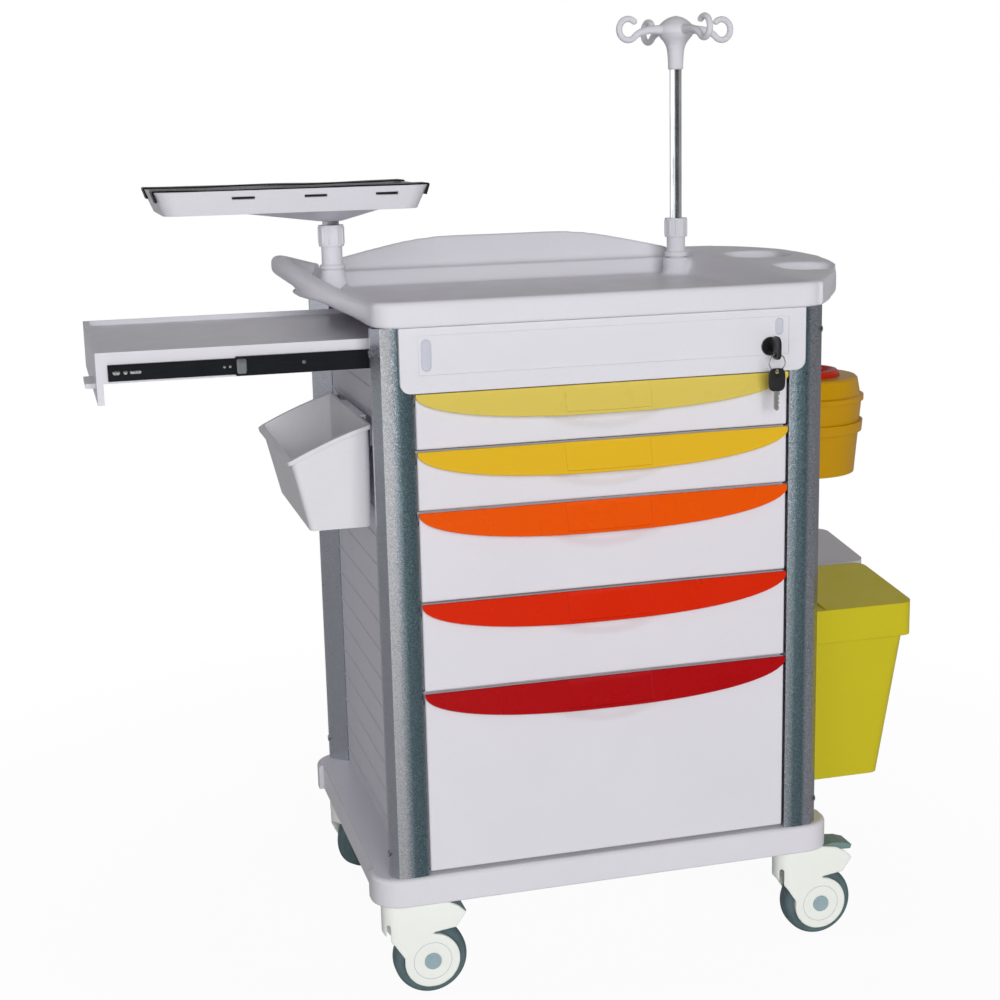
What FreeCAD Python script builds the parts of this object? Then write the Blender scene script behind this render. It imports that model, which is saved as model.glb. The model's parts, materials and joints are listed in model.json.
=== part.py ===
import FreeCAD, Part
import math
import os

# Hospital emergency trolley on castors: drawer cabinet, moulded worktop, pull-out side shelf,
# swivelling equipment platform, infusion pole and hang-on bins.
# Millimetres. Origin on the floor under the cabinet's centre, +X right, +Y back, +Z up.

V = FreeCAD.Vector
UP = V(0, 0, 1)

# Fits
running_clearance = 0.08
sliding_clearance = 0.3
drawer_gap = 2.5

# Base deck
base_length = 650.0
base_depth = 502.0
base_bottom = 144.0
base_thickness = 38.0
base_corner_radius = 40.0
base_lobe_length = 52.0
base_side_recess = 7.0
base_edge_round = 6.0
base_skin = 6.0
base_rim = 16.0
base_top = base_bottom + base_thickness

# Castors
wheel_diameter = 100.0
tyre_width = 30.0
tyre_depth = 13.0
tyre_crown = 5.0
axle_radius = 6.0
axle_cap_radius = 11.5
axle_cap_thickness = 2.5
castor_trail = 36.0
castor_inset_x = 42.0
castor_inset_y = 47.0
fork_wall = 4.5
fork_wheel_gap = 1.5
fork_disc_radius = 38.0
fork_back = 28.0
fork_back_drop = 45.0
fork_beak_reach = 84.0
fork_beak_drop = 24.0
fork_beak_depth = 20.0
fork_wheel_clearance = 6.0
rear_left_turn = 38.0
stem_plate_radius = 30.0
stem_plate_thickness = 6.0
stem_radius = 7.0
stem_depth = 24.0
pedal_length = 62.0
pedal_depth = 9.0
pedal_pivot_reach = 44.0
pedal_pivot_drop = 15.7
pedal_pin_radius = 2.5
pedal_pin_seat = 2.5
pedal_raise = 24.0
brake_gap = 0.6

# Corner columns
cabinet_top = 903.0
cabinet_half_width = 302.0
cabinet_half_depth = 244.0
column_width = 50.0
column_depth = 38.0
column_chamfer = 10.0
column_side_face = 8.0
column_bulge = 2.5
column_wall = 2.5

# Panels
panel_inset = 26.0
panel_thickness = 4.0
ridge_pitch = 40.4
ridge_height = 2.4
ridge_stand = 1.2
shelf_opening_height = 63.0
back_panel_inset = 4.0

# Drawers, from the top one down
drawer_heights = [73.0, 78.0, 119.0, 119.0, 247.0]
handle_drops = [37.0, 40.0, 41.0, 41.0, 41.0]
drawer_floor_gap = 4.0
drawer_depth = 458.0
drawer_wall = 2.5
drawer_headroom = 16.0
front_thickness = 12.0
front_edge_round = 3.0
handle_reach = 15.0
handle_top_stand = 3.0
handle_lip = 5.0
handle_root = 12.0
handle_end_drop = 3.0
lens_points = 7
lens_power = 2.4
finger_width = 220.0
finger_depth = 6.0
finger_below = 20.0
flange_width = 11.0
flange_thickness = 4.0
guide_thickness = 4.0
guide_reach = 31.0
guide_end_setback = 62.0

# Front fascia and lock
fascia_half_width = 270.0
fascia_thickness = 7.0
fascia_corner_radius = 13.0
fascia_channel_depth = 21.0
fascia_channel_wall = 3.5
label_recess_depth = 1.0
label_half_width = 246.0
label_margin_top = 10.0
label_margin_bottom = 22.0
lock_x = 220.0
lock_z = 855.0
lock_radius = 9.0
lock_flange_radius = 12.0
lock_flange_thickness = 3.0
lock_plug_radius = 6.0
key_bow_width = 30.0
key_bow_height = 24.0
key_thickness = 5.0
key_neck = 6.0
key_hole_radius = 3.0
key_ring_radius = 11.0
key_ring_wire = 0.9
spare_bow_width = 23.0
spare_bow_height = 30.0
spare_key_length = 25.0

# Worktop tray
tray_half_length = 300.0
tray_half_depth = 258.0
tray_corner_radius = 30.0
tray_rim_top = 936.0
tray_floor_top = 912.0
tray_floor_thickness = 5.0
tray_wall = 14.0
tray_wall_slope = 12.0
tray_edge_round = 6.0
back_wall_top = 981.0
back_wall_thickness = 9.0
back_wall_end_top = 950.0
back_wall_flat = 130.0
cheek_thickness = 9.0
handle_left_reach = 61.0
handle_peak_y = 65.0
handle_bar_width = 22.0
handle_bar_height = 26.0
handle_rise = 38.0
left_deck_thickness = 7.0
left_deck_drop = 4.0
hand_hole_start = 45.0
hand_hole_end = 185.0
extension_reach = 128.0
extension_tilt = 14.0
extension_rise = 10.0
pocket_length = 88.0
pocket_width = 78.0
pocket_depth = 24.0
pocket_draft = 6.0
pocket_corner_radius = 34.0
pocket_front_y = -78.0
pocket_rear_y = 96.0
pocket_inset = 15.0

# Infusion pole
pole_x = 261.0
pole_setback = 51.0
pole_radius = 9.0
pole_length = 600.0
pole_top = 1222.0
pole_wall = 1.5
socket_flange_radius = 17.0
socket_flange_thickness = 6.0
socket_radius = 14.0
pole_socket_height = 52.0
collar_radius = 18.0
collar_height = 28.0
collar_lip = 5.0
collar_rib_count = 10
collar_rib_radius = 2.2
head_height = 73.0
head_dome_radius = 28.0
head_neck_radius = 11.0
head_socket_depth = 24.0
hook_count = 4
hook_turn = 10.0
hook_reach = 81.0
hook_height = 53.0
hook_ring_radius = 15.6
hook_wire_radius = 4.2
hook_arm_radius = 7.0
hook_start = 225.0
hook_sweep = 285.0

# Equipment platform
post_outset = 4.0
post_y = 0.0
post_radius = 11.0
pedestal_radius = 22.0
post_socket_height = 80.0
platform_bottom = 1040.0
platform_height = 30.0
platform_length = 328.0
platform_depth = 192.0
platform_flare = 12.0
platform_offset = -62.0
platform_wall = 3.5
platform_corner_radius = 22.0
cone_height = 17.0
cone_length = 112.0
cone_width = 80.0
cone_offset = -32.0
slot_length = 29.0
slot_height = 4.0
slot_spacing = 92.0
slot_shift = 27.0
strap_width = 38.0
strap_thickness = 2.0
strap_inset = 76.0

# Pull-out side shelf, modelled pulled out
shelf_reach = 622.0
shelf_length = 366.0
shelf_setback = 55.0
shelf_rim_top = 886.0
shelf_skirt = 38.0
shelf_plate_drop = 7.0
shelf_wall = 3.0
shelf_end_height = 64.0
shelf_end_thickness = 8.0
inner_rail_height = 20.0
rail_length = 352.0
rail_sheet = 1.6
rail_depth = 4.0
mid_rail_reach = 462.0

# Dump bin on the left side
dump_front = -165.0
dump_back = 118.0
dump_bottom = 637.0
dump_outer_bottom = 374.0
dump_outer_top = 394.0
dump_low_rim = 722.0
dump_high_rim = 776.0
dump_wall = 3.0
dump_draft = 9.0
dump_lip = 5.0
dump_lip_height = 6.0

# Waste bins on the right side
yellow_bin_y = -86.5
yellow_bin_depth = 165.0
yellow_bin_top = 464.0
yellow_bin_reach = 484.0
grey_bin_y = 86.0
grey_bin_depth = 142.0
grey_bin_top = 480.0
grey_bin_reach = 500.0
waste_bottom = 206.0
waste_taper_x = 36.0
waste_taper_y = 14.0
waste_wall = 3.0
waste_corner_radius = 16.0
lid_height = 48.0
lid_wall = 3.0
lid_rise = 19.0
lid_roof_setback = 30.0
lid_pivot_radius = 2.5
ledge_setback = 11.0
hinge_notch_depth = 7.5
hinge_notch_front = 1.0

# Sharps container on the right side
sharps_x = 380.0
sharps_y = -12.0
sharps_bottom = 636.0
sharps_rim = 742.0
sharps_cover_top = 776.0
sharps_bottom_radius = 75.0
sharps_rim_radius = 84.0
sharps_bead = 3.0
sharps_wall = 2.5
sharps_cap_radius = 52.0
sharps_cap_height = 9.0
holder_z = 697.0
holder_height = 15.0
holder_thickness = 4.5

# Hanging rails for the bins
rail_bar_height = 25.0
rail_bar_thickness = 5.0
rail_standoff = 12.0
rail_standoff_radius = 7.0
left_rail_top = 770.0
right_rail_top = 446.0
rail_bar_length = 330.0
hook_clearance = 0.5
hook_strip = 3.0
hook_drop = 12.0

# Screws
screw_head_radius = 4.5
screw_head_height = 1.5
screw_shank_radius = 2.4
screw_length = 14.0
screw_margin = 32.0

# Places that several pieces share
column_inner = cabinet_half_width - column_width
column_back = cabinet_half_depth - column_depth
post_x = -tray_half_length - post_outset
panel_outer = cabinet_half_width - panel_inset
panel_inner = panel_outer - panel_thickness
front_plane = -cabinet_half_depth + 1.0
left_panel_top = cabinet_top - shelf_opening_height
wheel_radius = wheel_diameter / 2
fork_inner = tyre_width / 2 + fork_wheel_gap
fork_outer = fork_inner + fork_wall
fork_top = base_bottom - stem_plate_thickness - sliding_clearance
castor_x = base_length / 2 - castor_inset_x
castor_y = base_depth / 2 - castor_inset_y
drawer_bay_bottom = base_top + drawer_floor_gap
fascia_bottom = drawer_bay_bottom + sum(drawer_heights)
fascia_back = -cabinet_half_depth - column_bulge - sliding_clearance
fascia_front = fascia_back - fascia_thickness
box_half_width = panel_inner - guide_reach - drawer_gap
guide_front = -column_back
mid_rail_height = inner_rail_height + 2 * (sliding_clearance + rail_sheet)
outer_rail_height = mid_rail_height + 2 * (sliding_clearance + rail_sheet)
guide_back = drawer_depth / 2 + front_plane / 2 + guide_end_setback
bin_back = panel_outer + rail_standoff + rail_bar_thickness + hook_clearance
pole_y = cabinet_half_depth - pole_setback
shelf_half_width = cabinet_half_depth - shelf_setback


def box(x0, x1, y0, y1, z0, z1):
    return Part.makeBox(x1 - x0, y1 - y0, z1 - z0, V(x0, y0, z0))


def prism(points, along):
    wire = Part.makePolygon(points + [points[0]])
    return Part.Face(wire).extrude(along)


def arc(a, b, c):
    return Part.Arc(a, b, c).toShape()


def line(a, b):
    return Part.LineSegment(a, b).toShape()


def join(first, others):
    return first.multiFuse(others).removeSplitter()


def rounded_rectangle(x0, x1, y0, y1, radius, z):
    r = radius
    k = radius * (1 - math.sqrt(0.5))
    edges = [
        line(V(x0 + r, y0, z), V(x1 - r, y0, z)),
        arc(V(x1 - r, y0, z), V(x1 - k, y0 + k, z), V(x1, y0 + r, z)),
        line(V(x1, y0 + r, z), V(x1, y1 - r, z)),
        arc(V(x1, y1 - r, z), V(x1 - k, y1 - k, z), V(x1 - r, y1, z)),
        line(V(x1 - r, y1, z), V(x0 + r, y1, z)),
        arc(V(x0 + r, y1, z), V(x0 + k, y1 - k, z), V(x0, y1 - r, z)),
        line(V(x0, y1 - r, z), V(x0, y0 + r, z)),
        arc(V(x0, y0 + r, z), V(x0 + k, y0 + k, z), V(x0 + r, y0, z)),
    ]
    return Part.Wire(edges)


def rounded_block(x0, x1, y0, y1, z0, z1, radius):
    wire = rounded_rectangle(x0, x1, y0, y1, radius, z0)
    return Part.Face(wire).extrude(V(0, 0, z1 - z0))


def tapered_block(low, high, z0, z1, radius):
    # low and high are (x0, x1, y0, y1) at the two heights
    wires = [rounded_rectangle(*low, radius, z0), rounded_rectangle(*high, radius, z1)]
    return Part.makeLoft(wires, True, True)


def turned(profile, centre_x, centre_y):
    # profile is a list of (radius, z) points, turned about a vertical axis
    points = [V(centre_x + r, centre_y, z) for r, z in profile]
    face = Part.Face(Part.makePolygon(points + [points[0]]))
    return face.revolve(V(centre_x, centre_y, 0), UP, 360)


def edges_at(shape, z):
    found = []
    for edge in shape.Edges:
        b = edge.BoundBox
        if abs(b.ZMin - z) < 1e-3 and abs(b.ZMax - z) < 1e-3:
            found.append(edge)
    return found


def write(name, *solids):
    shape = solids[0] if len(solids) == 1 else Part.makeCompound(list(solids))
    shape.exportStep("parts/" + name + ".step")
    volume = sum(s.Volume for s in shape.Solids)
    print(name, len(shape.Solids), "solids", round(volume / 1000.0, 1), "cm3", shape.isValid())


def make_base_deck():
    half_x = base_length / 2
    half_y = base_depth / 2
    deck = rounded_block(-half_x, half_x, -half_y, half_y, base_bottom, base_top, base_corner_radius)
    deck = deck.makeFillet(base_edge_round, edges_at(deck, base_top))
    lobe_y = half_y - base_lobe_length
    for side in (-1, 1):
        edge_x = side * half_x
        step_x = side * (half_x - base_side_recess)
        x0, x1 = sorted((edge_x, step_x))
        deck = deck.cut(box(x0, x1, -lobe_y, lobe_y, base_bottom, base_top))
    corner_x = 2 * castor_inset_x + base_rim
    corner_y = 2 * castor_inset_y + base_rim
    ceiling = base_top - base_skin
    rim_x = base_side_recess + base_rim
    long_pocket = box(-half_x + rim_x, half_x - rim_x, -half_y + corner_y, half_y - corner_y,
                      base_bottom, ceiling)
    cross_pocket = box(-half_x + corner_x, half_x - corner_x, -half_y + base_rim, half_y - base_rim,
                       base_bottom, ceiling)
    return deck.cut(long_pocket).cut(cross_pocket)


def make_column(side, end):
    # side is -1 left or 1 right, end is -1 front or 1 back
    outer = cabinet_half_width
    face = cabinet_half_depth
    back = column_back
    middle = (column_inner + outer - column_chamfer) / 2

    def at(x, y):
        return V(side * x, end * y, base_top)

    corner = at(outer, face - column_chamfer)
    shoulder = at(outer, face - column_chamfer - column_side_face)
    edges = [
        arc(at(column_inner, face), at(middle, face + column_bulge), at(outer - column_chamfer, face)),
        line(at(outer - column_chamfer, face), corner),
        line(corner, shoulder),
        line(shoulder, at(panel_outer + 1.0, back)),
        line(at(panel_outer + 1.0, back), at(column_inner, back)),
        line(at(column_inner, back), at(column_inner, face)),
    ]
    height = V(0, 0, cabinet_top - base_top)
    profile = Part.Face(Part.Wire(edges))
    bore = profile.makeOffset2D(-column_wall)
    return profile.extrude(height).cut(bore.extrude(height))


def column_screw(side, end, z):
    y = end * (cabinet_half_depth - column_chamfer - column_side_face / 2)
    face = V(side * cabinet_half_width, y, z)
    outward = V(side, 0, 0)
    head = Part.makeCylinder(screw_head_radius, screw_head_height, face, outward)
    shank = Part.makeCylinder(screw_shank_radius, screw_length, face, outward * -1)
    return head.fuse(shank), shank


def make_columns_and_screws():
    columns = []
    screws = []
    for side in (-1, 1):
        for end in (-1, 1):
            column = make_column(side, end)
            for z in (base_top + screw_margin, cabinet_top - screw_margin):
                screw, shank = column_screw(side, end, z)
                column = column.cut(shank)
                screws.append(screw)
            columns.append(column)
    return columns, screws


def make_side_panel(side, top):
    x0, x1 = sorted((side * panel_inner, side * panel_outer))
    panel = box(x0, x1, -column_back, column_back, base_top, top)
    ridges = []
    z = base_top + ridge_pitch / 2
    while z + ridge_height < top:
        r0, r1 = sorted((side * panel_outer, side * (panel_outer + ridge_stand)))
        ridges.append(box(r0, r1, -column_back + 2.0, column_back - 2.0, z, z + ridge_height))
        z += ridge_pitch
    return join(panel, ridges)


def make_back_panel():
    y1 = cabinet_half_depth - back_panel_inset
    edge = column_inner - running_clearance
    return box(-edge, edge, y1 - panel_thickness, y1, base_top, cabinet_top)


def drawer_floor(index):
    return drawer_bay_bottom + sum(drawer_heights[index + 1:])


def flange_bottom(index):
    return drawer_floor(index) + drawer_heights[index] - drawer_headroom - flange_thickness


def make_drawer_box(index):
    z0 = drawer_floor(index) + drawer_gap
    z1 = flange_bottom(index) + flange_thickness
    y0 = front_plane + front_thickness
    y1 = y0 + drawer_depth - front_thickness
    w = drawer_wall
    shell = box(-box_half_width, box_half_width, y0, y1, z0, z1)
    shell = shell.cut(box(-box_half_width + w, box_half_width - w, y0 + w, y1 - w, z0 + w, z1))
    flanges = []
    for side in (-1, 1):
        x0, x1 = sorted((side * box_half_width, side * (box_half_width + flange_width)))
        flanges.append(box(x0, x1, y0, y1, z1 - flange_thickness, z1))
    return join(shell, flanges)


def lens_face(half_width, top, end_drop, drop, y):
    # flat along the top, a rounded sweep below: depth follows sqrt(1 - s^lens_power) of the half length
    left_top = V(-half_width, y, top)
    right_top = V(half_width, y, top)
    points = []
    for i in range(-lens_points, lens_points + 1):
        turn = math.pi / 2 * i / lens_points
        share = math.copysign(abs(math.sin(turn)) ** (2 / lens_power), turn)
        points.append(V(half_width * share, y, top - end_drop - (drop - end_drop) * abs(math.cos(turn))))
    sweep = Part.BSplineCurve()
    sweep.interpolate(points)
    edges = [sweep.toShape(), line(points[-1], right_top), line(right_top, left_top)]
    edges.append(line(left_top, points[0]))
    return Part.Face(Part.Wire(edges))


def drawer_front_top(index):
    return drawer_floor(index) + drawer_heights[index] - drawer_gap


def make_drawer_front(index):
    half = column_inner - drawer_gap
    z0 = drawer_floor(index)
    z1 = drawer_front_top(index)
    front = box(-half, half, front_plane, front_plane + front_thickness, z0, z1)
    rim = [e for e in front.Edges if e.BoundBox.YMax < front_plane + 1e-3]
    front = front.makeFillet(front_edge_round, rim)
    drop = handle_drops[index] + finger_below - handle_root
    pocket = lens_face(finger_width / 2, z1 - handle_root, drop / 2, drop, front_plane - 1.0)
    return front.cut(pocket.extrude(V(0, finger_depth + 1.0, 0)))


def make_drawer_handle(index):
    # the section is drawn past the lens all round, so that only the lens ends it above, below and sideways
    half = column_inner - drawer_gap
    top = drawer_front_top(index)
    drop = handle_drops[index]
    lens = lens_face(half, top, handle_end_drop, drop, front_plane)
    block = lens.extrude(V(0, -2 * handle_reach, 0))
    face_slope = (handle_reach - handle_top_stand) / drop
    hollow_slope = (handle_reach - handle_lip) / (drop - handle_root)
    over = handle_root / 2
    high = top + over
    low = top - drop - over
    face_high = front_plane - handle_top_stand + over * face_slope
    face_low = front_plane - handle_reach - over * face_slope
    hollow_low = front_plane - handle_reach + handle_lip - over * hollow_slope
    hollow_high = top - handle_root + over / 2
    back = front_plane + over / 2 * hollow_slope
    section = [
        V(-half - over, back, high),
        V(-half - over, face_high, high),
        V(-half - over, face_low, low),
        V(-half - over, hollow_low, low),
        V(-half - over, back, hollow_high),
    ]
    return block.common(prism(section, V(2 * half + 2 * over, 0, 0)))


def make_drawer_guides():
    guides = []
    for index in range(len(drawer_heights)):
        z = flange_bottom(index) - sliding_clearance
        t = guide_thickness
        above = z + 2 * sliding_clearance + flange_thickness
        for side in (-1, 1):
            wall = side * panel_inner
            web = side * (panel_inner - t)
            tip = side * (panel_inner - guide_reach)
            section = [
                V(wall, guide_front, z - t),
                V(wall, guide_front, above + t),
                V(tip, guide_front, above + t),
                V(tip, guide_front, above),
                V(web, guide_front, above),
                V(web, guide_front, z),
                V(tip, guide_front, z),
                V(tip, guide_front, z - t),
            ]
            guides.append(prism(section, V(0, guide_back - guide_front, 0)))
    return guides


def make_front_fascia():
    half = fascia_half_width
    r = fascia_corner_radius
    k = r * (1 - math.sqrt(0.5))
    top = cabinet_top
    low = fascia_bottom
    y = fascia_back
    edges = [
        line(V(-half, y, top), V(half, y, top)),
        line(V(half, y, top), V(half, y, low + r)),
        arc(V(half, y, low + r), V(half - k, y, low + k), V(half - r, y, low)),
        line(V(half - r, y, low), V(-half + r, y, low)),
        arc(V(-half + r, y, low), V(-half + k, y, low + k), V(-half, y, low + r)),
        line(V(-half, y, low + r), V(-half, y, top)),
    ]
    plate = Part.Face(Part.Wire(edges)).extrude(V(0, -fascia_thickness, 0))
    w = fascia_channel_wall
    channel_half = column_inner - running_clearance
    channel_back = fascia_back + fascia_channel_depth
    channel = box(-channel_half, channel_half, fascia_back, channel_back, fascia_bottom, top)
    inside = box(-channel_half + w, channel_half - w, fascia_back, channel_back, fascia_bottom + w, top - w)
    fascia = plate.fuse(channel.cut(inside)).removeSplitter()
    label = box(-label_half_width, label_half_width, fascia_front, fascia_front + label_recess_depth,
                fascia_bottom + label_margin_bottom, top - label_margin_top)
    lock_face = V(lock_x, fascia_front, lock_z)
    along = V(0, 1, 0)
    hole = Part.makeCylinder(lock_radius, fascia_thickness, lock_face, along)
    seat = Part.makeCylinder(lock_flange_radius, label_recess_depth, lock_face, along)
    return fascia.cut(label).cut(hole).cut(seat)


def make_lock_barrel():
    face = fascia_front + label_recess_depth
    along = V(0, 1, 0)
    flange = Part.makeCylinder(lock_flange_radius, lock_flange_thickness,
                               V(lock_x, face - lock_flange_thickness, lock_z), along)
    body = Part.makeCylinder(lock_radius, fascia_channel_depth, V(lock_x, face, lock_z), along)
    length = fascia_channel_depth + lock_flange_thickness
    bore = Part.makeCylinder(lock_plug_radius + running_clearance, length,
                             V(lock_x, face - lock_flange_thickness, lock_z), along)
    return flange.fuse(body).removeSplitter().cut(bore)


def key_bow_centre():
    mouth = fascia_front + label_recess_depth - lock_flange_thickness
    return V(lock_x, mouth - key_neck - key_bow_height / 2, lock_z)


def make_lock_key():
    # turning plug, cam behind the fascia, blade neck and a bow with a ring hole at its outer end
    mouth = fascia_front + label_recess_depth - lock_flange_thickness
    depth = fascia_channel_depth + lock_flange_thickness
    along = V(0, 1, 0)
    plug = Part.makeCylinder(lock_plug_radius, depth + 4.0, V(lock_x, mouth, lock_z), along)
    cam_y = mouth + depth + running_clearance
    cam = box(lock_x - 6.0, lock_x + 6.0, cam_y, cam_y + 3.0, lock_z - 22.0, lock_z + 7.0)
    neck = box(lock_x - 1.2, lock_x + 1.2, mouth - key_neck - 2.0, mouth + 1.0, lock_z - 4.0, lock_z + 4.0)
    centre = key_bow_centre()
    half = key_bow_width / 2
    bow = box(lock_x - key_thickness / 2, lock_x + key_thickness / 2,
              centre.y - key_bow_height / 2, centre.y + key_bow_height / 2, lock_z - half, lock_z + half)
    side_edges = [e for e in bow.Edges if abs(e.BoundBox.XLength - key_thickness) < 1e-3]
    bow = bow.makeFillet(key_bow_height / 3, side_edges)
    hole = Part.makeCylinder(key_hole_radius, key_thickness, ring_hole(), V(1, 0, 0))
    return join(plug, [cam, neck, bow]).cut(hole)


def ring_hole():
    centre = key_bow_centre()
    return V(lock_x - key_thickness / 2, centre.y - 2.0, lock_z - key_bow_width / 2 + 6.0)


def make_spare_key():
    # split ring through the bow's hole, and a second key hanging from it
    hole = ring_hole()
    centre = V(lock_x, hole.y, hole.z + key_hole_radius - key_ring_radius - 2 * key_ring_wire)
    start = centre + V(key_ring_radius, 0, 0)
    wire_face = Part.Face(Part.Wire(Part.makeCircle(key_ring_wire, start, UP)))
    ring = wire_face.revolve(centre, V(0, 1, 0), 360)
    top = centre.z - key_ring_radius + key_hole_radius + key_ring_wire
    half = spare_bow_width / 2
    y0 = centre.y - key_thickness / 2
    y1 = centre.y + key_thickness / 2
    bow = box(lock_x - half, lock_x + half, y0, y1, top - spare_bow_height, top)
    side_edges = [e for e in bow.Edges if abs(e.BoundBox.YLength - key_thickness) < 1e-3]
    bow = bow.makeFillet(spare_bow_width / 3, side_edges)
    slot_z = top - key_hole_radius - 1.5
    slot = Part.makeCylinder(key_hole_radius, key_thickness, V(lock_x, y0, slot_z), V(0, 1, 0))
    foot = top - spare_bow_height
    blade = box(lock_x - 4.0, lock_x + 4.0, centre.y - 1.1, centre.y + 1.1,
                foot - spare_key_length, foot + 2.0)
    return ring, bow.cut(slot).fuse(blade).removeSplitter()


def tray_body():
    x = tray_half_length
    y = tray_half_depth
    body = rounded_block(-x, x, -y, y, cabinet_top, tray_rim_top, tray_corner_radius)
    return body.makeFillet(tray_edge_round, edges_at(body, tray_rim_top))


def tray_basin():
    x = tray_half_length - tray_wall
    y = tray_half_depth - tray_wall
    s = tray_wall_slope
    low = (-x + s, x - s, -y + s, y - s)
    rise = (back_wall_top - tray_floor_top) / (tray_rim_top - tray_floor_top) * s
    high = (-x + s - rise, x - s + rise, -y + s - rise, y - s)
    return tapered_block(low, high, tray_floor_top, back_wall_top, tray_corner_radius)


def back_wall():
    y1 = tray_half_depth
    x = tray_half_length - tray_corner_radius
    bend = (x + back_wall_flat) / 2
    half_rise = (back_wall_top + back_wall_end_top) / 2
    low = tray_rim_top - tray_edge_round - 2.0
    curve = Part.BSplineCurve()
    heights = [(-x, back_wall_end_top), (-bend, half_rise), (-back_wall_flat, back_wall_top - 3.0),
               (0, back_wall_top), (back_wall_flat, back_wall_top - 3.0), (bend, half_rise),
               (x, back_wall_end_top)]
    points = [V(a, y1, z) for a, z in heights]
    curve.interpolate(points)
    edges = [curve.toShape(), line(points[-1], V(x, y1, low)), line(V(x, y1, low), V(-x, y1, low)),
             line(V(-x, y1, low), points[0])]
    return Part.Face(Part.Wire(edges)).extrude(V(0, -back_wall_thickness, 0))


def cheek(side):
    # end wall that falls from the back wall's end to the front rim
    x0 = side * (tray_half_length - tray_edge_round)
    y1 = tray_half_depth - tray_corner_radius / 3
    low = tray_rim_top - tray_edge_round - 2.0
    y0 = -tray_half_depth / 2
    section = [V(x0, y1, low), V(x0, y1, back_wall_end_top), V(x0, y0, tray_rim_top + 1.0), V(x0, y0, low)]
    return prism(section, V(-side * cheek_thickness, 0, 0))


def left_handle_path():
    # rises from the front corner to a peak behind the middle and comes back round to the rear corner
    root_x = -tray_half_length + handle_bar_width / 2
    root_y = tray_half_depth - tray_corner_radius
    root_z = (cabinet_top + tray_rim_top) / 2
    peak_x = -tray_half_length - handle_left_reach
    curve = Part.BSplineCurve()
    curve.interpolate([
        V(root_x, -root_y, root_z),
        V((root_x + peak_x) / 2, (handle_peak_y - root_y) / 2 - 30.0, root_z + 0.35 * handle_rise),
        V(peak_x, handle_peak_y, root_z + handle_rise),
        V((root_x + peak_x) / 2 - 14.0, root_y - 45.0, root_z + 0.85 * handle_rise),
        V(root_x, root_y, root_z + 0.45 * handle_rise),
    ])
    return curve


def left_handle():
    path = left_handle_path()
    wires = []
    steps = 10
    for i in range(steps + 1):
        place = path.FirstParameter + (path.LastParameter - path.FirstParameter) * i / steps
        centre = path.value(place)
        ahead = path.tangent(place)[0]
        across = V(ahead.y, -ahead.x, 0)
        across.normalize()
        corner = handle_bar_width / 4
        w = across * (handle_bar_width / 2)
        h = V(0, 0, handle_bar_height / 2)
        a = across * (handle_bar_width / 2 - corner)
        c = V(0, 0, handle_bar_height / 2 - corner)
        points = [centre + w + c, centre + a + h, centre - a + h, centre - w + c,
                  centre - w - c, centre - a - h, centre + a - h, centre + w - c]
        wires.append(Part.makePolygon(points + [points[0]]))
    return Part.makeLoft(wires, True, False)


def left_deck():
    # web between the tray and the bar, with the hand hole behind the post
    z1 = tray_rim_top - left_deck_drop
    reach_y = tray_half_depth - 2 * tray_corner_radius
    start = V(-tray_half_length + 2.0, -reach_y, z1)
    end = V(-tray_half_length + 2.0, reach_y, z1)
    middle = V(-tray_half_length - handle_left_reach + handle_bar_width / 4, handle_peak_y / 2, z1)
    edges = [arc(start, middle, end), line(end, start)]
    web = Part.Face(Part.Wire(edges)).extrude(V(0, 0, -left_deck_thickness))
    hole_x0 = -tray_half_length - 2 * handle_left_reach
    hole = rounded_block(hole_x0, -tray_half_length - 4.0, hand_hole_start, hand_hole_end,
                         z1 - left_deck_thickness, z1, 20.0)
    return web.cut(hole)


def right_extension():
    x0 = tray_half_length - tray_edge_round
    y = tray_half_depth - 6.0
    reach = tray_half_length + extension_reach
    z0 = cabinet_top
    curve = Part.BSplineCurve()
    plan = [(x0, -y), (x0 + 0.42 * extension_reach, -0.68 * y), (reach - 22.0, -0.22 * y), (reach, 0.3 * y),
            (reach - 22.0, 0.72 * y), (x0 + 0.45 * extension_reach, 0.95 * y), (x0, y)]
    points = [V(a, b, z0) for a, b in plan]
    curve.interpolate(points)
    outline = Part.Wire([curve.toShape(), line(points[-1], points[0])])
    top = tray_rim_top + extension_tilt
    slab = Part.Face(outline).extrude(V(0, 0, top - z0 + 5.0))
    tilt = [V(x0 - 5.0, -y - 20.0, tray_rim_top), V(x0 - 5.0, y + 20.0, top),
            V(x0 - 5.0, y + 20.0, top + 60.0), V(x0 - 5.0, -y - 20.0, top + 60.0)]
    slab = slab.cut(prism(tilt, V(extension_reach + 60.0, 0, 0)))
    under = [V(reach + 20.0, -y - 20.0, z0 - 1.0),
             V(reach + 20.0, -y - 20.0, z0 + extension_rise), V(x0 + 12.0, -y - 20.0, z0 - 1.0)]
    slab = slab.cut(prism(under, V(0, 2 * y + 40.0, 0)))
    floor = tray_rim_top - pocket_depth
    x1 = tray_half_length + pocket_inset
    d = pocket_draft
    for y_mid in (pocket_front_y, pocket_rear_y):
        high = (x1 - d, x1 + pocket_width + d, y_mid - pocket_length / 2 - d, y_mid + pocket_length / 2 + d)
        low = (x1, x1 + pocket_width, y_mid - pocket_length / 2, y_mid + pocket_length / 2)
        slab = slab.cut(tapered_block(low, high, floor, top + 5.0, pocket_corner_radius))
    return slab


def socket_seat(x, y):
    return Part.makeCylinder(socket_flange_radius + 3.0, tray_rim_top - cabinet_top + left_deck_drop,
                             V(x, y, cabinet_top))


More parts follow.
